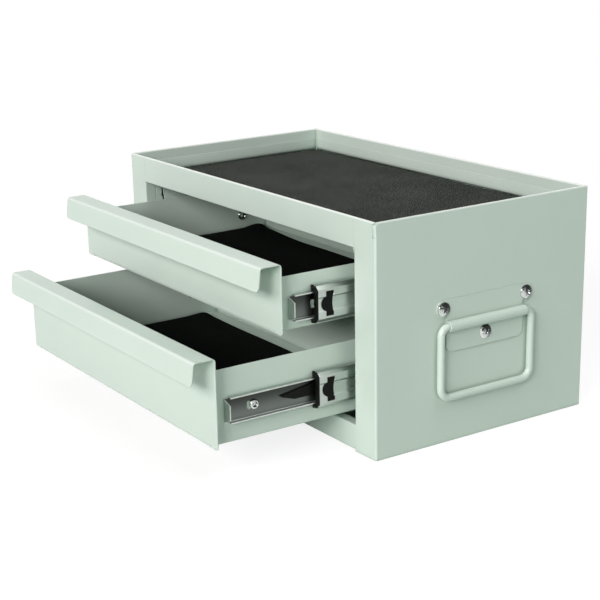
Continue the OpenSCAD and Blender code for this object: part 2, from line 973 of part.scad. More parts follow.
// Folded drawer: floor and sides, front with its lip, and back
module drawer_body(bottom, front_h, z, out) {
    face = face_y - out;
    top = bottom + front_h;
    side_top = top - side_drop;
    color(mint)
    difference() {
        union() {
            along_y(face + mid_sheet, face + drawer_d - mid_sheet)
            folded_sheet(
                [[-drawer_half + mid_sheet, side_top],
                 [-drawer_half + mid_sheet, bottom + mid_sheet],
                 [drawer_half - mid_sheet, bottom + mid_sheet],
                 [drawer_half - mid_sheet, side_top]],
                [floor_bend_r, floor_bend_r]
            );
            block(
                [-drawer_half + mid_sheet, face + drawer_d - sheet_t, bottom + mid_sheet],
                [drawer_half - mid_sheet, face + drawer_d, side_top]
            );
            drawer_front(bottom, top, face);
        }
        for (side = [-1, 1], place = rivet_places) {
            on_side(side)
            translate([drawer_half - overrun, track_front(out) + place.x, z + place.y])
            rotate([0, 90, 0])
            cylinder(r = rivet_d / 2 + hole_play, h = 2 * overrun, $fn = 32);
        }
    }
}

module drawer_front(bottom, top, face) {
    bend_half = drawer_half - ear_relief;
    bend_top = bottom + ear_relief;
    along_x(-bend_half, bend_half)
    folded_sheet(
        [[face + floor_bend_r * 2 + sheet_t, bottom + mid_sheet],
         [face + mid_sheet, bottom + mid_sheet],
         [face + mid_sheet, bend_top + sheet_t]],
        [floor_bend_r]
    );
    intersection() {
        along_x(-front_half, front_half)
        folded_sheet(
            [[face + mid_sheet, bottom],
             [face + mid_sheet, top - mid_sheet],
             [face - lip_d + mid_sheet, top - mid_sheet],
             [face - lip_d - lip_lean + mid_sheet, top - lip_h]],
            [lip_bend_r, lip_bend_r]
        );
        union() {
            along_y(face - lip_d - lip_lean - overrun, face - sheet_t)
            rounded_lower(front_half, top - lip_h - sheet_t, top + overrun, lip_corner_r);
            along_y(face - sheet_t, face + lip_bend_r)
            difference() {
                rounded_lower(front_half, bottom, top + overrun, front_corner_r);
                translate([-bend_half, bottom - overrun])
                square([2 * bend_half, overrun + ear_relief]);
                for (way = [-1, 1]) {
                    translate([way * (bend_half + relief_r / 2), bend_top - relief_r])
                    circle(relief_r, $fn = 24);
                }
            }
        }
    }
}

// Rectangle with its two lower corners rounded
module rounded_lower(half, low, high, r) {
    for (way = [-1, 1]) {
        translate([way * (half - r), low + r])
        circle(r, $fn = 64);
    }
    translate([-half + r, low])
    square([2 * (half - r), high - low]);
    translate([-half, low + r])
    square([2 * half, high - low - r]);
}

module drawer_mat(bottom, out) {
    inner = drawer_half - sheet_t - floor_bend_r;
    front = face_y - out + sheet_t + floor_bend_r + mat_gap;
    back = face_y - out + drawer_d - sheet_t - mat_gap;
    color(mat_grey)
    block([-inner, front, bottom + sheet_t], [inner, back, bottom + sheet_t + drawer_mat_t]);
}

// Handle plate: flat ears, a barrel rolled round the rod, a flat tail
module handle_plate(side) {
    roll_r = rod_r + rod_gap + plate_t / 2;
    roll_turn = acos((rod_out - plate_t / 2) / roll_r);
    roll_end = 180 - roll_turn;
    top = bail_z + plate_screw_up + ear_r;
    low = bail_z - plate_screw_down - plate_below;
    color(mint)
    on_side(side)
    translate([half_w + weld_gap, 0, 0])
    difference() {
        intersection() {
            along_y(-half_d, half_d)
            polygon(sheet_outline(concat(
                [[plate_t / 2, top]],
                [for (i = [0 : round_steps])
                    let (turn = roll_end * (1 - 2 * i / round_steps))
                    [rod_out + roll_r * cos(turn), bail_z + roll_r * sin(turn)]],
                [[plate_t / 2, low]]
            ), plate_t));
            along_x(-overrun, half_w)
            plate_outline(top, low);
        }
        for (place = screw_places) {
            translate([-overrun, place.x, place.y])
            rotate([0, 90, 0])
            cylinder(r = screw_d / 2 + hole_play, h = plate_t + 2 * overrun, $fn = 32);
        }
    }
}

module plate_outline(top, low) {
    difference() {
        union() {
            for (way = [-1, 1]) {
                translate([way * plate_screw_span / 2, top - ear_r])
                circle(ear_r, $fn = 64);
            }
            translate([-plate_screw_span / 2, top - 2 * ear_r])
            square([plate_screw_span, 2 * ear_r]);
            rounded_lower(barrel_len / 2, low, top - ear_r, plate_corner_r);
        }
        for (way = [-1, 1]) {
            translate([way * (barrel_len / 2 + neck_r / 2), top - 2 * ear_r - neck_r / 4])
            circle(neck_r, $fn = 32);
        }
    }
}

module handle_screws() {
    cap_r = ((screw_head_d / 2) ^ 2 + screw_head_h ^ 2) / (2 * screw_head_h);
    seat = plate_t + 2 * weld_gap;
    shank = sheet_t + weld_gap + nut_h + shank_past;
    color(chrome)
    for (side = [-1, 1], place = screw_places) {
        on_side(side)
        translate([half_w, place.x, place.y])
        rotate([0, 90, 0]) {
            translate([0, 0, -shank])
            cylinder(d = screw_d, h = shank + seat + screw_head_h / 2, $fn = 32);
            intersection() {
                translate([0, 0, seat + screw_head_h - cap_r])
                sphere(r = cap_r, $fn = 64);
                translate([0, 0, seat])
                cylinder(d = screw_head_d, h = screw_head_h, $fn = 64);
            }
        }
    }
}

module handle_nuts() {
    color(zinc)
    for (side = [-1, 1], place = screw_places) {
        on_side(side)
        translate([half_w - sheet_t - weld_gap - nut_h, place.x, place.y])
        rotate([0, 90, 0])
        difference() {
            cylinder(d = nut_af / cos(30), h = nut_h, $fn = 6);
            translate([0, 0, -overrun])
            cylinder(r = screw_d / 2 + thread_play, h = nut_h + 2 * overrun, $fn = 32);
        }
    }
}

// Round rod bent into a closed bail, hanging from its barrel
module bail(side) {
    bottom = bail_z - bail_drop + rod_r;
    color(mint)
    on_side(side)
    translate([half_w + rod_out, 0, 0])
    union() {
        rod_y(bail_half - bail_top_r, bail_z);
        rod_y(bail_half - bail_corner_r, bottom);
        for (way = [-1, 1]) {
            translate([0, way * bail_half, bottom + bail_corner_r])
            cylinder(r = rod_r, h = bail_z - bail_top_r - bottom - bail_corner_r, $fn = 48);
            rod_corner(way, 1, bail_z - bail_top_r, bail_top_r);
            rod_corner(way, -1, bottom + bail_corner_r, bail_corner_r);
        }
    }
}

module rod_y(half, z) {
    translate([0, half, z])
    rotate([90, 0, 0])
    cylinder(r = rod_r, h = 2 * half, $fn = 48);
}

module rod_corner(way, up, z, r) {
    translate([0, way * (bail_half - r), z])
    mirror([0, way < 0 ? 1 : 0, 0])
    mirror([0, 0, up < 0 ? 1 : 0])
    rotate([90, 0, 90])
    rotate_extrude(angle = 90, $fn = 64)
    translate([r, 0])
    circle(rod_r, $fn = 48);
}

side_panel(-1);  // left_side_panel
side_panel(1);  // right_side_panel
back_panel();
front_top_rail();
top_tray();
base_pan();
top_tray_mat();
upright(-1, front_upright_y, front_slot_y);  // front_left_upright
upright(1, front_upright_y, front_slot_y);  // front_right_upright
upright(-1, rear_upright_y, rear_slot_y);  // rear_left_upright
upright(1, rear_upright_y, rear_slot_y);  // rear_right_upright
outer_slide(-1, upper_z);  // upper_left_outer_slide
outer_slide(1, upper_z);  // upper_right_outer_slide
outer_slide(-1, lower_z);  // lower_left_outer_slide
outer_slide(1, lower_z);  // lower_right_outer_slide
handle_plate(-1);  // left_handle_plate
handle_plate(1);  // right_handle_plate
handle_screws();
handle_nuts();
bail(-1);  // left_bail
bail(1);  // right_bail
mid_slide(-1, upper_z, upper_mid_open);  // upper_left_mid_slide
mid_slide(1, upper_z, upper_mid_open);  // upper_right_mid_slide
end_clips(upper_z, upper_mid_open);  // upper_end_clips
mid_slide(-1, lower_z, lower_mid_open);  // lower_left_mid_slide
mid_slide(1, lower_z, lower_mid_open);  // lower_right_mid_slide
end_clips(lower_z, lower_mid_open);  // lower_end_clips
outer_cages(upper_z, upper_mid_open);  // upper_outer_cages
outer_balls(upper_z, upper_mid_open);  // upper_outer_balls
inner_cages(upper_z, upper_mid_open, upper_reach);  // upper_inner_cages
inner_balls(upper_z, upper_mid_open, upper_reach);  // upper_inner_balls
outer_cages(lower_z, lower_mid_open);  // lower_outer_cages
outer_balls(lower_z, lower_mid_open);  // lower_outer_balls
inner_cages(lower_z, lower_mid_open, lower_reach);  // lower_inner_cages
inner_balls(lower_z, lower_mid_open, lower_reach);  // lower_inner_balls
drawer_body(upper_base, upper_front_h, upper_z, upper_out);  // upper_drawer_body
drawer_mat(upper_base, upper_out);  // upper_drawer_mat
drawer_slide(-1, upper_z, upper_out);  // upper_left_drawer_slide
drawer_slide(1, upper_z, upper_out);  // upper_right_drawer_slide
slide_rivets(upper_z, upper_out);  // upper_slide_rivets
lever_pins(upper_z, upper_out);  // upper_lever_pins
release_lever(-1, upper_z, upper_out);  // upper_left_release_lever
release_lever(1, upper_z, upper_out);  // upper_right_release_lever
drawer_body(lower_base, lower_front_h, lower_z, lower_out);  // lower_drawer_body
drawer_mat(lower_base, lower_out);  // lower_drawer_mat
drawer_slide(-1, lower_z, lower_out);  // lower_left_drawer_slide
drawer_slide(1, lower_z, lower_out);  // lower_right_drawer_slide
slide_rivets(lower_z, lower_out);  // lower_slide_rivets
lever_pins(lower_z, lower_out);  // lower_lever_pins
release_lever(-1, lower_z, lower_out);  // lower_left_release_lever
release_lever(1, lower_z, lower_out);  // lower_right_release_lever
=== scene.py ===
import math

import bmesh
import bpy
from mathutils import Matrix, Vector, noise


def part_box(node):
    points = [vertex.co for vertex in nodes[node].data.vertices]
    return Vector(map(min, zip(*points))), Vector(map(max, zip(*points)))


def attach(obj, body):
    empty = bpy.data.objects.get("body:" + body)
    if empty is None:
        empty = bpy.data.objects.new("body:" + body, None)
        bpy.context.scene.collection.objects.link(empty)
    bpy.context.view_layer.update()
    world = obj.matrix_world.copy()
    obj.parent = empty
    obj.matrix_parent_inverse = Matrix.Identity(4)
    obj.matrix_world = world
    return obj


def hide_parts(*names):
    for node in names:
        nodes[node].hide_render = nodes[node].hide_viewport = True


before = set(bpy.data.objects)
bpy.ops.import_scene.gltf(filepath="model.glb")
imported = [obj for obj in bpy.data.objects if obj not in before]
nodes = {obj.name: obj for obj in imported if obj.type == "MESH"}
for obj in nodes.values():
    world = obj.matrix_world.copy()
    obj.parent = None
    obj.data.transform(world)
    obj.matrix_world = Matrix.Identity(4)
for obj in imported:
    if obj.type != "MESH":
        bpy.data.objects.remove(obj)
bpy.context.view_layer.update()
print("frame loaded:", len(nodes), "nodes")


# the photograph's camera: close, slightly above the rim, shifted to frame the box
cameraView = {
    "azimuth": 57.84, "elevation": 17.02, "roll": -1.61,
    "place": (1.3490, -0.9660, 0.5642),
    "lens": 86.11, "shift": (0.0667, 0.0467),
}


def placeCamera(look):
    azimuth, elevation, roll = (math.radians(look[k]) for k in ("azimuth", "elevation", "roll"))
    back = Vector((math.sin(azimuth) * math.cos(elevation),
                   -math.cos(azimuth) * math.cos(elevation), math.sin(elevation)))
    level = Vector((math.cos(azimuth), math.sin(azimuth), 0))
    upward = back.cross(level)
    right = math.cos(roll) * level + math.sin(roll) * upward
    up = math.cos(roll) * upward - math.sin(roll) * level
    bpy.ops.object.camera_add(location=look["place"])
    camera = bpy.context.object
    camera.name = "photoCamera"
    camera.rotation_euler = Matrix((right, up, back)).transposed().to_euler()
    camera.data.lens = look["lens"]
    camera.data.sensor_width = 36
    camera.data.shift_x, camera.data.shift_y = look["shift"]
    camera.data.clip_end = 100
    bpy.context.scene.camera = camera


placeCamera(cameraView)
bpy.context.scene.view_settings.view_transform = "Standard"
print("camera placed")


# small helpers for node trees
def addNode(tree, kind, x, y, **settings):
    made = tree.nodes.new(kind)
    made.location = (x, y)
    for name, value in settings.items():
        setattr(made, name, value)
    return made


def setInput(made, **values):
    for name, value in values.items():
        made.inputs[name.replace("_", " ")].default_value = value
    return made


def mathNode(tree, operation, x, y, first, second=None):
    made = addNode(tree, "ShaderNodeMath", x, y, operation=operation)
    for i, value in enumerate((first, second)):
        if value is None:
            continue
        if isinstance(value, (int, float)):
            made.inputs[i].default_value = value
        else:
            tree.links.new(value, made.inputs[i])
    return made.outputs[0]


def rayIsSeen(tree, x, y):
    # camera, mirror and glass rays see the bare background
    path = addNode(tree, "ShaderNodeLightPath", x, y).outputs
    seen = mathNode(tree, "MAXIMUM", x + 180, y, path["Is Camera Ray"], path["Is Glossy Ray"])
    return mathNode(tree, "MAXIMUM", x + 360, y, seen, path["Is Transmission Ray"])


# a plain white floor and five broad round lamps: two in front, two high up, one behind
studio = {
    "ambient": 0.06, "ambientTint": (0.90, 1.0, 0.95, 1),
    "floorSize": 12, "floorHeight": -0.0004,
    "floorBody": 0.26, "floorGlow": 0.82, "floorDiffuse": (0.60, 0.66, 0.62, 1),
    "fadeFrom": 0.55, "fadeTo": 1.1,
    "lampDistance": 6, "lampTarget": (0, -0.1, 0.12),
}

lamps = {
    "key": {"azimuth": 34, "elevation": 22, "size": 2.2, "power": 186, "colour": (1, 0.955, 0.970)},
    "front": {"azimuth": 9, "elevation": 28, "size": 2.6, "power": 152, "colour": (1, 0.885, 0.925)},
    "overLeft": {"azimuth": -90, "elevation": 60, "size": 3.4, "power": 44, "colour": (0.98, 1, 0.99)},
    "overRight": {"azimuth": 120, "elevation": 62, "size": 3.4, "power": 100, "colour": (1, 0.99, 0.99)},
    "behind": {"azimuth": 205, "elevation": 24, "size": 3.4, "power": 80, "colour": (1, 0.98, 0.985)},
}


def buildWorld(look):
    world = bpy.data.worlds.new("studioWorld")
    bpy.context.scene.world = world
    world.use_nodes = True
    tree = world.node_tree
    tree.nodes.clear()
    ambient = setInput(addNode(tree, "ShaderNodeBackground", 0, 120),
                       Color=look["ambientTint"], Strength=look["ambient"])
    white = setInput(addNode(tree, "ShaderNodeBackground", 0, -40), Color=(1, 1, 1, 1), Strength=1)
    mix = addNode(tree, "ShaderNodeMixShader", 220, 60)
    tree.links.new(rayIsSeen(tree, -600, 300), mix.inputs[0])
    tree.links.new(ambient.outputs[0], mix.inputs[1])
    tree.links.new(white.outputs[0], mix.inputs[2])
    out = addNode(tree, "ShaderNodeOutputWorld", 420, 60)
    tree.links.new(mix.outputs[0], out.inputs[0])


def buildFloor(look):
    bpy.ops.mesh.primitive_plane_add(size=look["floorSize"], location=(0, 0, look["floorHeight"]))
    floor = bpy.context.object
    floor.name = "studioFloor"
    paper = bpy.data.materials.new("paperFloor")
    paper.use_nodes = True
    tree = paper.node_tree
    tree.nodes.clear()
    body = addNode(tree, "ShaderNodeBsdfDiffuse", -200, 200)
    setInput(body, Color=(look["floorBody"],) * 3 + (1,))
    glow = addNode(tree, "ShaderNodeEmission", -200, 80)
    setInput(glow, Color=(1, 1, 1, 1), Strength=look["floorGlow"])
    shaded = addNode(tree, "ShaderNodeAddShader", 0, 160)
    tree.links.new(body.outputs[0], shaded.inputs[0])
    tree.links.new(glow.outputs[0], shaded.inputs[1])
    plain = setInput(addNode(tree, "ShaderNodeEmission", 0, 0), Color=(1, 1, 1, 1), Strength=1)
    coords = addNode(tree, "ShaderNodeTexCoord", -800, -200)
    reach = addNode(tree, "ShaderNodeVectorMath", -600, -200, operation="LENGTH")
    tree.links.new(coords.outputs["Object"], reach.inputs[0])
    fade = addNode(tree, "ShaderNodeMapRange", -400, -200, interpolation_type="SMOOTHSTEP")
    fade.inputs["From Min"].default_value = look["fadeFrom"]
    fade.inputs["From Max"].default_value = look["fadeTo"]
    tree.links.new(reach.outputs["Value"], fade.inputs["Value"])
    far = addNode(tree, "ShaderNodeMixShader", 200, 120)
    tree.links.new(fade.outputs[0], far.inputs[0])
    tree.links.new(shaded.outputs[0], far.inputs[1])
    tree.links.new(plain.outputs[0], far.inputs[2])
    real = setInput(addNode(tree, "ShaderNodeBsdfDiffuse", 200, -80), Color=look["floorDiffuse"])
    shown = addNode(tree, "ShaderNodeMixShader", 420, 60)
    tree.links.new(rayIsSeen(tree, -400, 400), shown.inputs[0])
    tree.links.new(real.outputs[0], shown.inputs[1])
    tree.links.new(far.outputs[0], shown.inputs[2])
    out = addNode(tree, "ShaderNodeOutputMaterial", 640, 60)
    tree.links.new(shown.outputs[0], out.inputs[0])
    floor.data.materials.append(paper)


def buildLamps(look, distance, target):
    for name, lamp in look.items():
        azimuth, elevation = math.radians(lamp["azimuth"]), math.radians(lamp["elevation"])
        way = Vector((math.sin(azimuth) * math.cos(elevation),
                      -math.cos(azimuth) * math.cos(elevation), math.sin(elevation)))
        bpy.ops.object.light_add(type="AREA", location=Vector(target) + way * distance)
        made = bpy.context.object
        made.name = name + "Lamp"
        made.rotation_euler = way.to_track_quat("Z", "Y").to_euler()
        made.data.shape = "DISK"
        made.data.size = lamp["size"]
        made.data.energy = lamp["power"]
        made.data.color = lamp["colour"]


buildWorld(studio)
buildFloor(studio)
buildLamps(lamps, studio["lampDistance"], studio["lampTarget"])
print("studio built")


# effects shared by the finishes
def newGroup(name, inputs, outputs):
    tree = bpy.data.node_groups.new(name, "ShaderNodeTree")
    for label, kind, value in inputs:
        socket = tree.interface.new_socket(label, in_out="INPUT", socket_type="NodeSocket" + kind)
        socket.default_value = value
    for label, kind in outputs:
        tree.interface.new_socket(label, in_out="OUTPUT", socket_type="NodeSocket" + kind)
    start = addNode(tree, "NodeGroupInput", -900, 0)
    end = addNode(tree, "NodeGroupOutput", 700, 0)
    return tree, start, end


def noiseNode(tree, x, y, vector, scale, detail, roughness):
    made = addNode(tree, "ShaderNodeTexNoise", x, y)
    setInput(made, Detail=detail, Roughness=roughness)
    if isinstance(scale, (int, float)):
        made.inputs["Scale"].default_value = scale
    else:
        tree.links.new(scale, made.inputs["Scale"])
    tree.links.new(vector, made.inputs["Vector"])
    return made.outputs["Fac"]


def rangeNode(tree, x, y, value, low, high, toLow=0.0, toHigh=1.0):
    made = addNode(tree, "ShaderNodeMapRange", x, y, interpolation_type="SMOOTHSTEP")
    for label, number in (("From Min", low), ("From Max", high), ("To Min", toLow), ("To Max", toHigh)):
        if isinstance(number, (int, float)):
            made.inputs[label].default_value = number
        else:
            tree.links.new(number, made.inputs[label])
    tree.links.new(value, made.inputs["Value"])
    return made.outputs[0]


def splitVector(tree, x, y, vector):
    made = addNode(tree, "ShaderNodeSeparateXYZ", x, y)
    tree.links.new(vector, made.inputs[0])
    return made.outputs


def vectorMath(tree, operation, x, y, first, second):
    made = addNode(tree, "ShaderNodeVectorMath", x, y, operation=operation)
    tree.links.new(first, made.inputs[0])
    tree.links.new(second, made.inputs[1])
    return made.outputs


def buildEdgeWearAndHighlight():
    # a mask of the outer edges, broken up by noise: worn edges, and a painted edge highlight where it is
    # mixed paler
    bend, patch, least = (0.995, 0.8), (0.35, 0.62), 0.35
    tree, start, end = newGroup(
        "edgeWearAndHighlight",
        [("Radius", "Float", 0.0006), ("Scale", "Float", 120.0), ("Amount", "Float", 1.0)],
        [("Mask", "Float"), ("Round Normal", "Vector")])
    rounded = addNode(tree, "ShaderNodeBevel", -700, 200, samples=4)
    tree.links.new(start.outputs["Radius"], rounded.inputs["Radius"])
    geometry = addNode(tree, "ShaderNodeNewGeometry", -700, 0)
    agree = vectorMath(tree, "DOT_PRODUCT", -500, 100, rounded.outputs[0], geometry.outputs["Normal"])
    edge = rangeNode(tree, -300, 100, agree["Value"], *bend)
    coords = addNode(tree, "ShaderNodeTexCoord", -900, -300)
    worn = noiseNode(tree, -500, -300, coords.outputs["Object"], start.outputs["Scale"],
                     detail=4, roughness=0.6)
    mask = mathNode(tree, "MULTIPLY", 0, 0, edge, rangeNode(tree, -300, -300, worn, *patch, least, 1.0))
    mask = mathNode(tree, "MULTIPLY", 200, 0, mask, start.outputs["Amount"])
    tree.links.new(mask, end.inputs["Mask"])
    tree.links.new(rounded.outputs[0], end.inputs["Round Normal"])
    return tree


def buildSkinGrain():
    # the skin of sprayed or moulded surfaces: a height and a faint mottle
    finer, speckRange = 1.7, (0.52, 0.74)
    tree, start, end = newGroup(
        "skinGrain",
        [("Scale", "Float", 700.0), ("Mottle Scale", "Float", 14.0), ("Stretch", "Vector", (1, 1, 1))],
        [("Height", "Float"), ("Mottle", "Float"), ("Speck", "Float")])
    coords = addNode(tree, "ShaderNodeTexCoord", -900, -300)
    spread = vectorMath(tree, "MULTIPLY", -700, -200, coords.outputs["Object"], start.outputs["Stretch"])[0]
    height = noiseNode(tree, -450, 200, spread, start.outputs["Scale"], detail=2, roughness=0.45)
    mottle = noiseNode(tree, -450, 0, spread, start.outputs["Mottle Scale"], detail=4, roughness=0.55)
    fineScale = mathNode(tree, "MULTIPLY", -650, 60, start.outputs["Scale"], finer)
    speck = noiseNode(tree, -450, -200, spread, fineScale, detail=1, roughness=0.5)
    tree.links.new(height, end.inputs["Height"])
    tree.links.new(mottle, end.inputs["Mottle"])
    tree.links.new(rangeNode(tree, -200, -200, speck, *speckRange), end.inputs["Speck"])
    return tree


def buildDust():
    # dust that settles on faces that look up
    lying, patch = (0.5, 0.95), (0.35, 0.75)
    tree, start, end = newGroup("dustFilm", [("Scale", "Float", 30.0), ("Amount", "Float", 0.3)],
                                [("Mask", "Float")])
    geometry = addNode(tree, "ShaderNodeNewGeometry", -700, 100)
    up = rangeNode(tree, -300, 100, splitVector(tree, -500, 100, geometry.outputs["Normal"])["Z"], *lying)
    coords = addNode(tree, "ShaderNodeTexCoord", -700, -200)
    settled = noiseNode(tree, -500, -200, coords.outputs["Object"], start.outputs["Scale"],
                        detail=5, roughness=0.6)
    mask = mathNode(tree, "MULTIPLY", 0, 0, up, rangeNode(tree, -300, -200, settled, *patch))
    tree.links.new(mathNode(tree, "MULTIPLY", 200, 0, mask, start.outputs["Amount"]), end.inputs["Mask"])
    return tree


def buildPaintedReflection():
    # painted reflection: light and dark patches that turn with the surface, painted in for the dark room that
    # polished steel shows
    middle, litSpan = 0.5, (0.0, 0.45)
    tree, start, end = newGroup(
        "paintedReflection",
        [("Scale", "Float", 500.0), ("Lean", "Vector", (0.0, -0.7, -0.7)), ("Unrest", "Float", 0.8),
         ("Bias", "Float", 0.0)],
        [("Mask", "Float")])
    coords = addNode(tree, "ShaderNodeTexCoord", -900, -300)
    turned = vectorMath(tree, "DOT_PRODUCT", -600, 100, coords.outputs["Normal"], start.outputs["Lean"])
    broken = noiseNode(tree, -600, -200, coords.outputs["Object"], start.outputs["Scale"],
                       detail=3, roughness=0.55)
    broken = mathNode(tree, "SUBTRACT", -480, -200, broken, middle)
    broken = mathNode(tree, "MULTIPLY", -350, -200, broken, start.outputs["Unrest"])
    lit = mathNode(tree, "ADD", -200, 0, turned["Value"], start.outputs["Bias"])
    light = rangeNode(tree, 0, 0, mathNode(tree, "ADD", -100, 0, lit, broken), *litSpan)
    tree.links.new(light, end.inputs["Mask"])
    return tree


def buildPaintedFoldHighlight():
    # painted highlight: folds between the front and the top, and the upright corners, painted pale where they
    # would catch the light
    tree, start, end = newGroup(
        "paintedFoldHighlight",
        [("Front", "Float", 0.7), ("Corner", "Float", 0.4), ("From", "Float", 0.45), ("To", "Float", 0.95)],
        [("Mask", "Float")])
    coords = addNode(tree, "ShaderNodeTexCoord", -900, 300)
    parts = splitVector(tree, -700, 300, coords.outputs["Normal"])
    # twice the product of two parts of the normal is 1 halfway round a fold
    forward = mathNode(tree, "MULTIPLY", -500, 300, parts["Y"], -2.0)
    sideways = mathNode(tree, "ABSOLUTE", -500, 0, parts["X"])
    masks = []
    for y, other, strength in ((200, parts["Z"], "Front"), (0, sideways, "Corner")):
        both = mathNode(tree, "MULTIPLY", -350, y, forward, other)
        bend = rangeNode(tree, -200, y, both, start.outputs["From"], start.outputs["To"])
        masks.append(mathNode(tree, "MULTIPLY", 0, y, bend, start.outputs[strength]))
    tree.links.new(mathNode(tree, "MAXIMUM", 200, 100, *masks), end.inputs["Mask"])
    return tree


paintedFoldHighlight = buildPaintedFoldHighlight()
paintedReflection = buildPaintedReflection()
edgeWearAndHighlight = buildEdgeWearAndHighlight()
skinGrain = buildSkinGrain()
dustFilm = buildDust()


def placeGroup(tree, group, x, y, **values):
    made = addNode(tree, "ShaderNodeGroup", x, y)
    made.node_tree = group
    return setInput(made, **values)


def mixColour(tree, x, y, factor, first, second, blend="MIX"):
    made = addNode(tree, "ShaderNodeMix", x, y, data_type="RGBA", blend_type=blend)
    for socket, value in ((made.inputs[0], factor), (made.inputs[6], first), (made.inputs[7], second)):
        if isinstance(value, (int, float)):
            socket.default_value = value
        elif isinstance(value, tuple):
            socket.default_value = value if len(value) == 4 else value + (1,)
        else:
            tree.links.new(value, socket)
    return made.outputs[2]


def newMaterial(name):
    made = bpy.data.materials.new(name)
    made.use_nodes = True
    tree = made.node_tree
    shader = tree.nodes["Principled BSDF"]
    return made, tree, shader


def addBump(tree, shader, height, strength, distance, roundNormal=None):
    bump = setInput(addNode(tree, "ShaderNodeBump", -250, -400), Strength=strength, Distance=distance)
    tree.links.new(height, bump.inputs["Height"])
    if roundNormal is not None:
        tree.links.new(roundNormal, bump.inputs["Normal"])
    tree.links.new(bump.outputs[0], shader.inputs["Normal"])


mottleSpan = (0.3, 0.7)


def unevenGloss(tree, shader, grain, roughness):
    rough = rangeNode(tree, -350, -150, grain.outputs["Mottle"], *mottleSpan, *roughness)
    tree.links.new(rough, shader.inputs["Roughness"])


paintLook = {
    "colour": (0.622, 0.750, 0.660), "pale": (0.86, 0.93, 0.88), "deep": (0.606, 0.735, 0.645),
    "roughness": (0.30, 0.40), "specular": 0.42, "bump": (0.25, 0.0002),
    "grainScale": 620, "mottleScale": 9, "mottleRange": (0.35, 0.65),
    "edge": 0.0008, "edgeScale": 160.0, "edgeWearAndHighlight": 0.8,
    "dust": (0.70, 0.71, 0.69), "dustScale": 22.0, "dustAmount": 0.12,
    "rim": (0.2480, 0.2494), "rimHighlight": 0.7,
    "foldShine": (0.45, 0.95), "foldHighlight": 0.35, "cornerHighlight": 0.2,
    "creaseShade": (0.60, 0.64, 0.62), "creaseWidth": 0.0085, "creaseRange": (0.25, 0.80),
    "lessShadedSide": (0.2530, 0.2545), "lessShaded": 0.5,
}


def mintPaint(look):
    made, tree, shader = newMaterial("mintPaint")
    grain = placeGroup(tree, skinGrain, -900, 0, Scale=look["grainScale"], Mottle_Scale=look["mottleScale"])
    wearAndHighlight = placeGroup(tree, edgeWearAndHighlight, -900, -300,
                      Radius=look["edge"], Scale=look["edgeScale"], Amount=look["edgeWearAndHighlight"])
    dust = placeGroup(tree, dustFilm, -900, -600, Scale=look["dustScale"], Amount=look["dustAmount"])
    mottle = rangeNode(tree, -700, 100, grain.outputs["Mottle"], *look["mottleRange"])
    body = mixColour(tree, -500, 100, mottle, look["deep"], look["colour"])
    # worn edges and painted highlight: the edges are mixed toward the pale colour
    body = mixColour(tree, -350, 100, wearAndHighlight.outputs["Mask"], body, look["pale"])
    body = mixColour(tree, -200, 100, dust.outputs["Mask"], body, look["dust"])
    # painted highlight: a band at the rim's top and the folds are painted paler, where they would catch the
    # light
    coords = addNode(tree, "ShaderNodeTexCoord", -1100, 500)
    place = splitVector(tree, -900, 500, coords.outputs["Object"])
    rim = rangeNode(tree, -700, 500, place["Z"], *look["rim"], 0.0, look["rimHighlight"])
    body = mixColour(tree, -100, 200, rim, body, look["pale"])
    # painted highlight: the folds' fronts and the upright corners are mixed toward the pale colour
    shineFrom, shineTo = look["foldShine"]
    foldHighlights = placeGroup(tree, paintedFoldHighlight, -700, 700,
                       Front=look["foldHighlight"], Corner=look["cornerHighlight"], From=shineFrom, To=shineTo)
    body = mixColour(tree, -50, 250, foldHighlights.outputs["Mask"], body, look["pale"])
    # painted shade: creases are darkened by an ambient occlusion mask, less on the outer sides
    creaseShade = addNode(tree, "ShaderNodeAmbientOcclusion", -500, 400, samples=8)
    creaseShade.inputs["Distance"].default_value = look["creaseWidth"]
    clear = rangeNode(tree, -300, 400, creaseShade.outputs["AO"], *look["creaseRange"])
    sideways = mathNode(tree, "ABSOLUTE", -850, 350, place["X"])
    outerLessShaded = rangeNode(tree, -700, 350, sideways, *look["lessShadedSide"], 0.0, look["lessShaded"])
    clear = mathNode(tree, "MAXIMUM", -150, 500, clear, outerLessShaded)
    creaseShaded = mixColour(tree, -150, 400, 1.0, body, look["creaseShade"], "MULTIPLY")
    body = mixColour(tree, 0, 300, clear, creaseShaded, body)
    tree.links.new(body, shader.inputs["Base Color"])
    shader.inputs["Specular IOR Level"].default_value = look["specular"]
    unevenGloss(tree, shader, grain, look["roughness"])
    addBump(tree, shader, grain.outputs["Height"], *look["bump"], wearAndHighlight.outputs["Round Normal"])
    return made


steelLook = {
    "slideZinc": {"colour": (0.545, 0.590, 0.560), "dark": (0.445, 0.487, 0.458),
                  "roughness": (0.26, 0.40), "wearAndHighlight": 0.8},
    "drawerMember": {"colour": (0.56, 0.60, 0.57), "dark": (0.47, 0.51, 0.48),
                     "roughness": (0.26, 0.40), "wearAndHighlight": 1.0,
                     "webTop": (0.046, 0.053, 0.048), "webFoot": (0.150, 0.168, 0.156),
                     "webSide": (0.2068, 0.2078), "levels": (0.072835, 0.164), "webRise": (0.010, -0.011)},
    # brightSteel and rivetSteel carry a painted reflection: "patch" is its dark colour, with the scale,
    # unrest and bias of its patches
    "brightSteel": {"colour": (0.76, 0.79, 0.77), "dark": (0.60, 0.63, 0.61),
                    "roughness": (0.14, 0.26), "wearAndHighlight": 0.5,
                    "patch": (0.025, 0.029, 0.027), "patchScale": 620.0, "unrest": 1.5, "bias": 0.08},
    "rivetSteel": {"colour": (0.76, 0.79, 0.77), "dark": (0.60, 0.63, 0.61),
                   "roughness": (0.16, 0.28), "wearAndHighlight": 0.5,
                   "patch": (0.035, 0.040, 0.037), "patchScale": 420.0, "unrest": 0.8, "bias": 0.30},
}
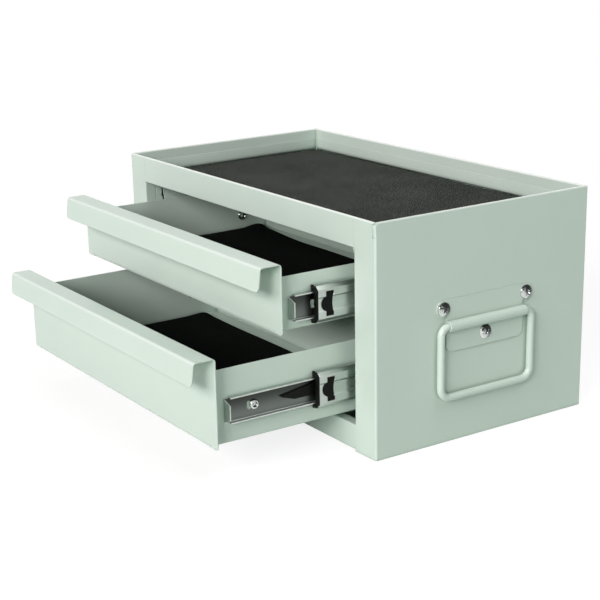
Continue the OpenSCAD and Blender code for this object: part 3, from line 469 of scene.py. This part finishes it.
# what the rolled parts share: the mill's streaks along the strip, the worn edges with their painted
# highlight, a channel's flat floor
stripLook = {
    "grainScale": 900.0, "mottleScale": 60.0, "stretch": (1, 0.06, 1), "streaks": (0.32, 0.68),
    "edge": 0.0005, "edgeScale": 200.0, "brighter": 1.5, "lift": 0.05,
    "bump": (0.12, 0.0001), "flat": (0.8, 0.97),
}


def channelFloor(tree, body, look, flatRange):
    # the channel's floor stays in the shade of its flanges, darkest under the upper one
    coords = addNode(tree, "ShaderNodeTexCoord", -1300, 500)
    turned = splitVector(tree, -1100, 600, coords.outputs["Normal"])
    place = splitVector(tree, -1100, 400, coords.outputs["Object"])
    flat = rangeNode(tree, -750, 600, mathNode(tree, "ABSOLUTE", -900, 600, turned["X"]), *flatRange)
    sideways = mathNode(tree, "ABSOLUTE", -900, 450, place["X"])
    near = rangeNode(tree, -750, 450, sideways, *look["webSide"], 1.0, 0.0)
    low, high = look["levels"]
    step = mathNode(tree, "GREATER_THAN", -900, 300, place["Z"], (low + high) / 2)
    rise = mathNode(tree, "SUBTRACT", -750, 300, place["Z"], low)
    upper = mathNode(tree, "MULTIPLY", -750, 200, step, high - low)
    rise = mathNode(tree, "SUBTRACT", -600, 300, rise, upper)
    height = rangeNode(tree, -600, 450, rise, *look["webRise"])
    web = mixColour(tree, -450, 400, height, look["webTop"], look["webFoot"])
    return mixColour(tree, -420, 200, mathNode(tree, "MULTIPLY", -600, 600, flat, near), body, web)


def rolledSteel(name, look, strip):
    made, tree, shader = newMaterial(name)
    grain = placeGroup(tree, skinGrain, -900, 0,
                       Scale=strip["grainScale"], Mottle_Scale=strip["mottleScale"], Stretch=strip["stretch"])
    wearAndHighlight = placeGroup(tree, edgeWearAndHighlight, -900, -300,
                      Radius=strip["edge"], Scale=strip["edgeScale"], Amount=look["wearAndHighlight"])
    streak = rangeNode(tree, -700, 100, grain.outputs["Mottle"], *strip["streaks"])
    body = mixColour(tree, -500, 100, streak, look["dark"], look["colour"])
    # worn edges and painted highlight: the steel's edges are painted brighter
    pale = tuple(min(1, part * strip["brighter"] + strip["lift"]) for part in look["colour"])
    # painted reflection: bright steel and rivets get dark patches painted in where they would mirror the dark
    # room
    if "patch" in look:
        reflectionMask = placeGroup(tree, paintedReflection, -900, 300,
                             Scale=look["patchScale"], Unrest=look["unrest"], Bias=look["bias"])
        body = mixColour(tree, -420, 200, reflectionMask.outputs["Mask"], look["patch"], body)
    if "webTop" in look:
        body = channelFloor(tree, body, look, strip["flat"])
    body = mixColour(tree, -350, 100, wearAndHighlight.outputs["Mask"], body, pale)
    tree.links.new(body, shader.inputs["Base Color"])
    shader.inputs["Metallic"].default_value = 1.0
    unevenGloss(tree, shader, grain, look["roughness"])
    addBump(tree, shader, grain.outputs["Height"], *strip["bump"], wearAndHighlight.outputs["Round Normal"])
    return made


plasticLook = {
    "colour": (0.004, 0.005, 0.004), "worn": (0.05, 0.055, 0.05), "roughness": (0.30, 0.44),
    "specular": 0.10, "grainScale": 1500.0, "mottleScale": 90.0, "bump": (0.2, 0.0001),
    "edge": 0.0004, "edgeScale": 300.0, "edgeWearAndHighlight": 0.5,
}


def blackPlastic(look):
    made, tree, shader = newMaterial("blackPlastic")
    grain = placeGroup(tree, skinGrain, -900, 0, Scale=look["grainScale"], Mottle_Scale=look["mottleScale"])
    wearAndHighlight = placeGroup(tree, edgeWearAndHighlight, -900, -300,
                      Radius=look["edge"], Scale=look["edgeScale"], Amount=look["edgeWearAndHighlight"])
    body = mixColour(tree, -350, 100, wearAndHighlight.outputs["Mask"], look["colour"], look["worn"])
    tree.links.new(body, shader.inputs["Base Color"])
    shader.inputs["Specular IOR Level"].default_value = look["specular"]
    unevenGloss(tree, shader, grain, look["roughness"])
    addBump(tree, shader, grain.outputs["Height"], *look["bump"], wearAndHighlight.outputs["Round Normal"])
    return made


def buildKnurl():
    # fine crossed ridges, as pressed into a sheet liner: each rises to half a pitch and falls again
    half, grooveSpan = 0.5, (0.16, 0.02)
    tree, start, end = newGroup("knurl", [("Pitch", "Float", 0.0022), ("Turn", "Float", 0.785)],
                                [("Height", "Float"), ("Groove", "Float")])
    coords = addNode(tree, "ShaderNodeTexCoord", -900, -300)
    turned = addNode(tree, "ShaderNodeVectorRotate", -700, -300, rotation_type="Z_AXIS")
    tree.links.new(coords.outputs["Object"], turned.inputs["Vector"])
    tree.links.new(start.outputs["Turn"], turned.inputs["Angle"])
    parts = splitVector(tree, -500, -300, turned.outputs[0])
    ridges = []
    for y, label in ((-200, "X"), (-360, "Y")):
        step = mathNode(tree, "DIVIDE", -300, y, parts[label], start.outputs["Pitch"])
        ridges.append(mathNode(tree, "PINGPONG", -150, y, step, half))
    height = mathNode(tree, "MULTIPLY", 50, -200, *ridges)
    tree.links.new(mathNode(tree, "MULTIPLY", 200, -200, height, 1 / half ** 2), end.inputs["Height"])
    lowest = mathNode(tree, "MINIMUM", 50, 0, *ridges)
    tree.links.new(rangeNode(tree, 200, 0, lowest, *grooveSpan), end.inputs["Groove"])
    return tree


knurl = buildKnurl()

linerLook = {
    "trayLiner": {"colour": (0.014, 0.016, 0.0135), "pale": (0.22, 0.24, 0.215),
                  "grooveShade": (0.010, 0.011, 0.009), "roughness": 0.95, "specular": 0.05,
                  "grain": 430.0, "pitch": 0.0027, "press": 0.75, "sheen": 0.012},
    "drawerLiner": {"colour": (0.0038, 0.0052, 0.0044), "pale": (0.026, 0.031, 0.027),
                    "grooveShade": (0.0020, 0.0026, 0.0022), "roughness": 0.98, "specular": 0.03,
                    "grain": 560.0, "pitch": 0.0031, "press": 0.3, "sheen": 0.0},
}
foamLook = {
    "mottleScale": 14.0, "mottle": 0.1, "turn": 0.785, "bump": (0.45, 0.0004),
    "sheenRoughness": 0.5, "sheenTint": (0.82, 1, 0.88, 1),
}


def linerFoam(name, look, foam):
    made, tree, shader = newMaterial(name)
    grain = placeGroup(tree, skinGrain, -900, 0, Scale=look["grain"], Mottle_Scale=foam["mottleScale"])
    ridges = placeGroup(tree, knurl, -900, -300, Pitch=look["pitch"], Turn=foam["turn"])
    mottle = rangeNode(tree, -750, 100, grain.outputs["Mottle"], *mottleSpan, 0.0, foam["mottle"])
    body = mixColour(tree, -600, 100, mottle, look["colour"], look["pale"])
    body = mixColour(tree, -450, 100, grain.outputs["Speck"], body, look["pale"])
    # painted shade: the grooves between the knurl's ridges are painted darker
    shadedGrooves = mathNode(tree, "MULTIPLY", -450, -100, ridges.outputs["Groove"], look["press"])
    body = mixColour(tree, -300, 100, shadedGrooves, body, look["grooveShade"])
    tree.links.new(body, shader.inputs["Base Color"])
    shader.inputs["Roughness"].default_value = look["roughness"]
    shader.inputs["Specular IOR Level"].default_value = look["specular"]
    shader.inputs["Sheen Weight"].default_value = look["sheen"]
    shader.inputs["Sheen Roughness"].default_value = foam["sheenRoughness"]
    shader.inputs["Sheen Tint"].default_value = foam["sheenTint"]
    raised = mathNode(tree, "MULTIPLY", -600, -350, ridges.outputs["Height"], look["press"])
    relief = mathNode(tree, "ADD", -450, -350, raised, grain.outputs["Height"])
    addBump(tree, shader, relief, *foam["bump"])
    return made


finishes = {
    "mint_paint": mintPaint(paintLook),
    "slide_zinc": rolledSteel("slideZinc", steelLook["slideZinc"], stripLook),
    "drawer_member": rolledSteel("drawerMember", steelLook["drawerMember"], stripLook),
    "bright_steel": rolledSteel("brightSteel", steelLook["brightSteel"], stripLook),
    "rivet_steel": rolledSteel("rivetSteel", steelLook["rivetSteel"], stripLook),
    "black_plastic": blackPlastic(plasticLook),
    "tray_liner": linerFoam("trayLiner", linerLook["trayLiner"], foamLook),
    "drawer_liner": linerFoam("drawerLiner", linerLook["drawerLiner"], foamLook),
}


def dressNodes():
    for node in nodes.values():
        for slot in node.material_slots:
            slot.material = finishes[slot.material.name]


dressNodes()
print("finishes set on", len(nodes), "nodes")


# small helpers for modelling with operators
def deselectAll():
    if bpy.context.object and bpy.context.object.mode != "OBJECT":
        bpy.ops.object.mode_set(mode="OBJECT")
    bpy.ops.object.select_all(action="DESELECT")


def takeUp(piece):
    deselectAll()
    piece.select_set(True)
    bpy.context.view_layer.objects.active = piece


def settle(name):
    # the place goes into the mesh, the object stays at the origin
    made = bpy.context.object
    made.name = name
    bpy.ops.object.transform_apply(location=True, rotation=True, scale=True)
    return made


def addBlock(name, low, high):
    deselectAll()
    low, high = Vector(low), Vector(high)
    bpy.ops.mesh.primitive_cube_add(size=1, location=(low + high) / 2)
    bpy.context.object.scale = high - low
    return settle(name)


def addDrum(name, axis, start, length, radius, sides):
    # a cylinder that starts at a point and runs along X or Y
    deselectAll()
    turn = {"X": (0, math.pi / 2, 0), "Y": (math.pi / 2, 0, 0)}[axis]
    middle = Vector(start)
    middle["XY".index(axis)] += length / 2
    bpy.ops.mesh.primitive_cylinder_add(vertices=sides, radius=radius, depth=length,
                                        location=middle, rotation=turn)
    return settle(name)


# how squarely a face or an edge lies along an axis to be picked, and a dead square one
facing, square = 0.9, 0.999


def pick(piece, kind, test):
    # selects what passes a test of its middle and its normal, or an edge's direction
    takeUp(piece)
    bpy.ops.object.mode_set(mode="EDIT")
    bpy.ops.mesh.select_mode(type=kind)
    bpy.ops.mesh.select_all(action="DESELECT")
    mesh = bmesh.from_edit_mesh(piece.data)
    if kind == "EDGE":
        for edge in mesh.edges:
            a, b = (vert.co for vert in edge.verts)
            edge.select_set(bool(test((a + b) / 2, (b - a).normalized())))
    else:
        for face in mesh.faces:
            face.select_set(bool(test(face.calc_center_median(), face.normal)))
    mesh.select_flush_mode()
    bmesh.update_edit_mesh(piece.data)


def applyModifier(piece, kind, **settings):
    takeUp(piece)
    step = piece.modifiers.new(kind.lower(), kind)
    for name, value in settings.items():
        setattr(step, name, value)
    bpy.ops.object.modifier_apply(modifier=step.name)


def carve(piece, tool, operation="DIFFERENCE"):
    applyModifier(piece, "BOOLEAN", object=tool, operation=operation, solver="EXACT")
    bpy.data.objects.remove(tool)


def softenEdges(piece, width, segments, angle):
    applyModifier(piece, "BEVEL", width=width, segments=segments, limit_method="ANGLE",
                  angle_limit=math.radians(angle), harden_normals=False)


def copyOf(piece, name):
    takeUp(piece)
    bpy.ops.object.duplicate(linked=False)
    made = bpy.context.object
    made.name = name
    return made


def moveMesh(piece, way, turn=0.0, around=None):
    takeUp(piece)
    bpy.ops.object.mode_set(mode="EDIT")
    bpy.ops.mesh.select_all(action="SELECT")
    if turn:
        bpy.ops.transform.rotate(value=turn, orient_axis="X", center_override=around)
    bpy.ops.transform.translate(value=way)
    bpy.ops.object.mode_set(mode="OBJECT")


def mirrorMesh(piece):
    # to the left side, through the box's middle
    takeUp(piece)
    bpy.ops.object.mode_set(mode="EDIT")
    bpy.ops.mesh.select_all(action="SELECT")
    bpy.ops.transform.mirror(constraint_axis=(True, False, False), orient_type="GLOBAL",
                             center_override=(0, 0, 0))
    bpy.ops.mesh.flip_normals()
    bpy.ops.object.mode_set(mode="OBJECT")


def joinAll(name, parts):
    takeUp(parts[0])
    for part in parts[1:]:
        part.select_set(True)
    bpy.ops.object.join()
    made = bpy.context.object
    made.name = name
    return made


def finishPiece(piece, body, replaced, slotName, smooth=32, finish=None):
    takeUp(piece)
    bpy.ops.object.mode_set(mode="EDIT")
    bpy.ops.mesh.select_all(action="SELECT")
    bpy.ops.mesh.normals_make_consistent(inside=False)
    bpy.ops.object.mode_set(mode="OBJECT")
    bpy.ops.object.shade_smooth_by_angle(angle=math.radians(smooth))
    piece.data.materials.clear()
    piece.data.materials.append(finishes[finish or slotName])
    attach(piece, body)
    if replaced:
        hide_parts(*replaced)


# liners: thin sheets that lie a little uneven and ride up at the walls
linerShapes = {
    "trayLiner": {"node": "top_tray_mat", "body": "cabinet", "slot": "tray_liner",
                  "cells": (110, 62), "thickness": 0.0012, "corner": 0.003, "edge": 0.0003,
                  "wave": 0.00025, "waveSize": 0.07, "curl": 0.0003, "curlWidth": 0.02, "seed": 3.0,
                  "short": (0.0, 0.0), "ear": 0.0},
    "upperLiner": {"node": "upper_drawer_mat", "body": "upper_drawer", "slot": "drawer_liner",
                   "cells": (100, 62), "thickness": 0.0022, "corner": 0.009, "edge": 0.0006,
                   "wave": 0.0005, "waveSize": 0.055, "curl": 0.0008, "curlWidth": 0.022, "seed": 11.0,
                   "short": (0.011, 0.020), "ear": 0.0034},
    "lowerLiner": {"node": "lower_drawer_mat", "body": "lower_drawer", "slot": "drawer_liner",
                   "cells": (100, 62), "thickness": 0.0022, "corner": 0.009, "edge": 0.0006,
                   "wave": 0.0005, "waveSize": 0.06, "curl": 0.0008, "curlWidth": 0.024, "seed": 23.0,
                   "short": (0.020, 0.022), "ear": 0.0012},
}
linerLay = {
    "gap": 0.00005, "curlWaves": 9, "curlMean": 0.45, "curlSpread": 1.1, "earSize": 0.03,
    "shortRamp": 0.3, "fill": 0.1, "smooth": 40,
}


def ease(t):
    t = min(max(t, 0.0), 1.0)
    return t * t * (3 - 2 * t)


def roundCorner(x, y, flat):
    pastX, pastY = abs(x) - flat[0], abs(y) - flat[1]
    if pastX <= 0 or pastY <= 0:
        return x, y
    pull = max(pastX, pastY) / math.hypot(pastX, pastY)
    return math.copysign(flat[0] + pastX * pull, x), math.copysign(flat[1] + pastY * pull, y)


def buildLiner(name, look, lay):
    low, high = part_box(look["node"])
    middle, size = (low + high) / 2, high - low
    deselectAll()
    bpy.ops.mesh.primitive_grid_add(x_subdivisions=look["cells"][0], y_subdivisions=look["cells"][1],
                                    size=1, location=(middle.x, middle.y, low.z))
    bpy.context.object.scale = (size.x, size.y, 1)
    liner = settle(name)
    flat = (size.x / 2 - look["corner"], size.y / 2 - look["corner"])
    left, right = look["short"]
    for vert in liner.data.vertices:
        x, y = roundCorner(vert.co.x - middle.x, vert.co.y - middle.y, flat)
        inward = min(size.x / 2 - abs(x), size.y / 2 - abs(y))
        uneven = noise.noise(Vector((x / look["waveSize"], y / look["waveSize"], look["seed"])))
        along = noise.noise(Vector((x * lay["curlWaves"], y * lay["curlWaves"], look["seed"] + 5)))
        lift = look["wave"] * (0.5 + 0.5 * uneven)
        curl = look["curl"] * ease(lay["curlMean"] + lay["curlSpread"] * along)
        lift += curl * (1 - ease(inward / look["curlWidth"]))
        # the rear left corner rides up, and the sheet is cut short of the rear wall
        corner = math.hypot(x + size.x / 2, y - size.y / 2)
        lift += look["ear"] * (1 - ease(corner / lay["earSize"]))
        short = left + (right - left) * ease((x / size.x + 0.5) / lay["shortRamp"])
        y -= short * (y / size.y + 0.5)
        vert.co = (middle.x + x, middle.y + y, low.z + lay["gap"] + lift)
    applyModifier(liner, "SOLIDIFY", thickness=look["thickness"], offset=1)
    softenEdges(liner, look["edge"], segments=2, angle=50)
    finishPiece(liner, look["body"], [look["node"]], look["slot"], lay["smooth"])


for name, look in linerShapes.items():
    buildLiner(name, look, linerLay)
print("liners laid")


# domed cross-head screws of the handle plates
screwLook = {
    "headRadius": 0.0078, "placeRadius": 0.00675, "headHeight": 0.0036, "rim": 0.0007,
    "shankRadius": 0.003, "shankLength": 0.0128,
    "crossLength": 0.0078, "crossWidth": 0.0018, "crossDepth": 0.0023, "crossTaper": 0.62,
    "clear": 0.002, "turns": (18, 62, 37), "soften": 0.00018,
}


def buildScrew(look, seat, y, z):
    rise, radius, rim = look["headHeight"], look["headRadius"], look["rim"]
    dome = (radius ** 2 + (rise - rim) ** 2) / (2 * (rise - rim))
    deselectAll()
    bpy.ops.mesh.primitive_uv_sphere_add(segments=56, ring_count=40, radius=dome,
                                         location=(seat + rise - dome, y, z), rotation=(0, math.pi / 2, 0))
    screw = settle("handleScrew")
    pick(screw, "FACE", lambda middle, normal: True)
    bpy.ops.mesh.bisect(plane_co=(seat + rim, y, z), plane_no=(1, 0, 0), use_fill=True, clear_inner=True)
    pick(screw, "FACE", lambda middle, normal: normal.x < -facing)
    bpy.ops.mesh.extrude_region_move(TRANSFORM_OT_translate={"value": (-rim, 0, 0)})
    bpy.ops.mesh.inset(thickness=radius - look["shankRadius"])
    bpy.ops.mesh.extrude_region_move(TRANSFORM_OT_translate={"value": (-look["shankLength"], 0, 0)})
    arm, width = look["crossLength"], look["crossWidth"]
    foot, taper = seat + rise - look["crossDepth"], look["crossTaper"]
    for spanY, spanZ in ((arm, width), (width, arm)):
        bit = addBlock("crossBit", (foot, y - spanY / 2, z - spanZ / 2),
                       (seat + rise + look["clear"], y + spanY / 2, z + spanZ / 2))
        pick(bit, "FACE", lambda middle, normal: normal.x < -facing)
        bpy.ops.transform.resize(value=(1, taper, taper), center_override=(seat, y, z))
        bpy.ops.object.mode_set(mode="OBJECT")
        carve(screw, bit)
    softenEdges(screw, look["soften"], segments=2, angle=28)
    return screw


def buildScrews(look):
    low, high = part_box("handle_screws")
    seat, radius = high.x - look["headHeight"], look["placeRadius"]
    places = [(high.y - radius, high.z - radius), (low.y + radius, high.z - radius), (0.0, low.z + radius)]
    start = places[0]
    first = buildScrew(look, seat, *start)
    parts = [first]
    for place, turn in zip(places[1:], look["turns"][1:]):
        made = copyOf(first, "handleScrewCopy")
        way = (0, place[0] - start[0], place[1] - start[1])
        moveMesh(made, way, math.radians(turn), (seat, *start))
        parts.append(made)
    moveMesh(first, (0, 0, 0), math.radians(look["turns"][0]), (seat, *start))
    right = joinAll("rightScrews", parts)
    left = copyOf(right, "leftScrews")
    mirrorMesh(left)
    finishPiece(joinAll("handleScrews", [right, left]), "cabinet", ["handle_screws"], "bright_steel")


buildScrews(screwLook)
print("handle screws made")


# tubular rivets: a rolled ring outside, a wider flared ring inside the drawer
rivetLook = {
    "headRadius": 0.00525, "headHeight": 0.0022, "shankRadius": 0.0025,
    "tailRadius": 0.0060, "tailHeight": 0.0022, "web": 0.0012, "sheet": 0.001, "drop": 0.0032,
    "roll": 0.0014, "lip": 0.0007, "sink": 0.0006, "boreTaper": 0.86, "boreDepth": 0.0026,
    "gap": 0.00005, "overlap": 0.0002,
}


def rollRing(piece, way, look):
    # the end face gets a rounded rim and a sunk bore
    pick(piece, "FACE", lambda middle, normal: normal.x * way > facing)
    bpy.ops.mesh.bevel(offset=look["roll"], segments=5, affect="EDGES")
    pick(piece, "FACE", lambda middle, normal: normal.x * way > square)
    bpy.ops.mesh.inset(thickness=look["lip"])
    bpy.ops.mesh.extrude_region_move(TRANSFORM_OT_translate={"value": (-way * look["sink"], 0, 0)})
    bpy.ops.transform.resize(value=(1, look["boreTaper"], look["boreTaper"]))
    bpy.ops.mesh.extrude_region_move(TRANSFORM_OT_translate={"value": (-way * look["boreDepth"], 0, 0)})
    bpy.ops.object.mode_set(mode="OBJECT")


def buildRivet(look, side, y, z):
    inner, overlap = side - look["sheet"], look["overlap"]
    head = addDrum("rivetHead", "X", (side + look["web"] + look["gap"], y, z),
                   look["headHeight"], look["headRadius"], sides=40)
    rollRing(head, 1, look)
    shank = addDrum("rivetShank", "X", (inner - overlap, y, z),
                    look["web"] + look["sheet"] + 2 * overlap, look["shankRadius"], sides=32)
    tail = addDrum("rivetTail", "X", (inner - look["gap"] - look["tailHeight"], y, z),
                   look["tailHeight"], look["tailRadius"], sides=40)
    rollRing(tail, -1, look)
    return joinAll("slideRivet", [head, shank, tail])


def buildRivets(level, look):
    low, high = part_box(level + "_slide_rivets")
    side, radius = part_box(level + "_right_drawer_slide")[0].x, look["headRadius"]
    front, rear = (low.y + radius, high.z - radius), (high.y - radius, high.z - radius - look["drop"])
    first = buildRivet(look, side, *front)
    second = copyOf(first, "rearRivet")
    moveMesh(second, (0, rear[0] - front[0], rear[1] - front[1]))
    right = joinAll("rightRivets", [first, second])
    left = copyOf(right, "leftRivets")
    mirrorMesh(left)
    finishPiece(joinAll(level + "SlideRivets", [right, left]), level + "_drawer",
                [level + "_slide_rivets"], "bright_steel", smooth=40, finish="rivet_steel")


for level in ("upper", "lower"):
    buildRivets(level, rivetLook)
print("rivets set")


# end clips: a scalloped front plate, a bowed web inside it and the sunk crescent
clipLook = {
    "plate": (0.0014, 0.0114), "plateDepth": (-0.0028, -0.0005), "half": 0.0198, "slant": 0.0262,
    "windowHalf": 0.0138, "windowTo": 0.0070, "frontInset": 0.003,
    "scallops": ((0.0052, 0.0199, 0.0019), (0.0096, 0.0172, 0.0013)),
    "bow": {"from": 0.0056, "to": 0.0083, "radius": 0.0165, "centre": 0.0142, "cut": 0.0065,
            "overlap": 0.0005},
    "crescent": {"from": 0.0094, "to": 0.0190, "half": 0.0130, "bulge": 0.0082, "bulgeAt": 0.0125,
                 "bite": 0.0300, "biteDepth": 0.0016, "horn": 0.0016,
                 "inner": 0.0076, "face": 0.0103, "lip": 0.0008, "sink": 0.0006},
    "tongue": ((0.0074, -0.001), (0.0083, 0.021)), "tongueHalf": 0.0058,
    "soften": 0.00025,
}
# how far the cutting tools stand clear of what they cut
clipTools = {"behind": 0.002, "near": 0.01, "long": 0.02, "wide": 0.03, "rear": 0.06}


def buildClipPlate(look, tools, side, front, z):
    # the plate across the middle member's front end
    near, half = tools["near"], look["windowHalf"]
    (inner, outer), (fore, rear) = look["plate"], look["plateDepth"]
    plate = addBlock("clipPlate", (side + inner, front + fore, z - look["half"]),
                     (side + outer, front + rear, z + look["half"]))
    for way in (1, -1):
        pick(plate, "FACE", lambda middle, normal: True)
        bpy.ops.mesh.bisect(plane_co=(side + look["slant"], front, z), plane_no=(1, 0, way),
                            use_fill=True, clear_outer=True)
        bpy.ops.object.mode_set(mode="OBJECT")
    window = addBlock("clipWindow", (side - tools["behind"], front - near, z - half),
                      (side + look["windowTo"], front + near, z + half))
    carve(plate, window)
    for x, up, radius in look["scallops"]:
        for way in (1, -1):
            start = (side + x, front - near, z + way * up)
            carve(plate, addDrum("scallop", "Y", start, tools["long"], radius, sides=24))
    return plate


def buildClipBow(look, tools, side, front, z):
    # the bow that stiffens the window
    bow, half = look["bow"], look["windowHalf"]
    near, long, wide, rear = (tools[k] for k in ("near", "long", "wide", "rear"))
    web = addDrum("clipBow", "X", (side + bow["from"], front + bow["centre"], z),
                  bow["to"] - bow["from"], bow["radius"], sides=96)
    carve(web, addBlock("bowEnd", (side - near, front + bow["cut"], z - wide),
                        (side + wide, front + rear, z + wide)))
    for way in (1, -1):
        ends = (way * half - way * bow["overlap"], way * half + way * (bow["overlap"] + long))
        carve(web, addBlock("bowSide", (side - near, front - long, z + min(ends)),
                            (side + wide, front + rear, z + max(ends))))
    return web


def buildCrescent(moon, tools, side, front, z):
    # the crescent that snaps into the member's cut-out
    inner, thick = side + moon["inner"], moon["face"] - moon["inner"]
    pad = addBlock("clipCrescent", (inner, front + moon["from"], z - moon["half"]),
                   (side + moon["face"], front + moon["to"], z + moon["half"]))
    pick(pad, "EDGE", lambda middle, way: abs(way.x) > facing)
    bpy.ops.mesh.bevel(offset=moon["horn"], segments=4, affect="EDGES")
    bpy.ops.object.mode_set(mode="OBJECT")
    bulgeAt = (inner, front + moon["bulgeAt"], z)
    carve(pad, addDrum("bulge", "X", bulgeAt, thick, moon["bulge"], sides=72), "UNION")
    biteAt = (side, front + moon["to"] - moon["biteDepth"] + moon["bite"], z)
    carve(pad, addDrum("bite", "X", biteAt, tools["long"], moon["bite"], sides=128))
    pick(pad, "FACE", lambda middle, normal: normal.x > facing)
    bpy.ops.mesh.dissolve_limited(angle_limit=0.01)
    bpy.ops.mesh.inset(thickness=moon["lip"], depth=-moon["sink"])
    bpy.ops.object.mode_set(mode="OBJECT")
    return pad


def buildClip(look, tools, side, front, z):
    plate = buildClipPlate(look, tools, side, front, z)
    web = buildClipBow(look, tools, side, front, z)
    pad = buildCrescent(look["crescent"], tools, side, front, z)
    (inner, fore), (outer, rear) = look["tongue"]
    tongue = addBlock("clipTongue", (side + inner, front + fore, z - look["tongueHalf"]),
                      (side + outer, front + rear, z + look["tongueHalf"]))
    clip = joinAll("endClip", [plate, web, pad, tongue])
    softenEdges(clip, look["soften"], segments=2, angle=40)
    return clip


def buildClips(look, tools):
    first = None
    for level in ("upper", "lower"):
        low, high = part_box(level + "_end_clips")
        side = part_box(level + "_right_drawer_slide")[0].x
        front, z = low.y + look["frontInset"], (low.z + high.z) / 2
        if first is None:
            first, start = buildClip(look, tools, side, front, z), Vector((0, front, z))
        right = copyOf(first, level + "RightClip")
        moveMesh(right, (0, front - start.y, z - start.z))
        left = copyOf(right, level + "LeftClip")
        mirrorMesh(left)
        finishPiece(joinAll(level + "EndClips", [right, left]), level + "_mids",
                    [level + "_end_clips"], "black_plastic")
    bpy.data.objects.remove(first)


buildClips(clipLook, clipTools)
print("end clips fitted")


# sealer under the tray's hems, filled seams at the rail's ends and the opening's rounded corner
fillLook = {
    "hem": (0.25172, 0.13922), "wall": (0.25295, 0.14045), "hemFoot": 0.2372,
    "bead": 0.0158, "beadFoot": 0.03, "beadSoften": 0.0003,
    "seam": ((0.2500, -0.14252, 0.2353), (0.25503, -0.1390, 0.2476)), "seamRound": 0.0014,
    "seamEdge": (0.2545, -0.142), "seamDrop": (0.0007, 0.006), "seamTaper": (0.0008, 0.004),
    "seamSoften": 0.0001,
    "opening": (0.2195, 0.2180), "gusset": 0.0036, "plate": (-0.1425, -0.1415),
    "sunk": 0.0002, "drill": (0.002, 0.006),
}


def buildSealer(look):
    beads = []
    (hemX, hemY), (wallX, wallY) = look["hem"], look["wall"]
    top, foot, narrow = look["hemFoot"], look["hemFoot"] - look["bead"], look["beadFoot"]
    for way in (1, -1):
        for axis, low, high, shrink, at in (
                (0, (hemX, -wallY, foot), (wallX, wallY, top), (narrow, 1, 1), (wallX * way, 0, 0)),
                (1, (-wallX, hemY, foot), (wallX, wallY, top), (1, narrow, 1), (0, wallY * way, 0))):
            low, high = list(low), list(high)
            if way < 0:
                low[axis], high[axis] = -high[axis], -low[axis]
            bead = addBlock("hemBead", low, high)
            pick(bead, "FACE", lambda middle, normal: normal.z < -facing)
            bpy.ops.transform.resize(value=shrink, center_override=at)
            bpy.ops.object.mode_set(mode="OBJECT")
            softenEdges(bead, look["beadSoften"], segments=3, angle=20)
            beads.append(bead)
    finishPiece(joinAll("traySealer", beads), "cabinet", [], "mint_paint", smooth=60)


def buildCornerSeam(look):
    seam = addBlock("rightSeam", *look["seam"])
    edgeX, edgeY = look["seamEdge"]
    pick(seam, "EDGE", lambda middle, way: abs(way.z) > facing and middle.x > edgeX and middle.y < edgeY)
    bpy.ops.mesh.bevel(offset=look["seamRound"], segments=6, affect="EDGES")
    bpy.ops.object.mode_set(mode="OBJECT")
    # its edges run down into the sheet
    (inward, down), (across, back) = look["seamDrop"], look["seamTaper"]
    pick(seam, "FACE", lambda middle, normal: normal.z < -facing)
    bpy.ops.transform.translate(value=(-inward, inward, -down))
    pick(seam, "FACE", lambda middle, normal: normal.x < -facing)
    bpy.ops.transform.translate(value=(-back, across, 0))
    pick(seam, "FACE", lambda middle, normal: normal.y > facing)
    bpy.ops.transform.translate(value=(-across, back, 0))
    bpy.ops.object.mode_set(mode="OBJECT")
    softenEdges(seam, look["seamSoften"], segments=2, angle=40)
    return seam


def buildSeams(look):
    right = buildCornerSeam(look)
    left = copyOf(right, "leftSeam")
    mirrorMesh(left)
    (x, z), size, sunk = look["opening"], look["gusset"], look["sunk"]
    (fore, rear), (clear, length) = look["plate"], look["drill"]
    corner = addBlock("openingCorner", (x - size, fore, z - size), (x + sunk, rear, z + sunk))
    drill = addDrum("cornerRound", "Y", (x - size, fore - clear, z - size), length, size, sides=64)
    carve(corner, drill)
    finishPiece(joinAll("seamFill", [right, left, corner]), "cabinet", [], "mint_paint", smooth=40)


buildSealer(fillLook)
buildSeams(fillLook)
print("seams filled")
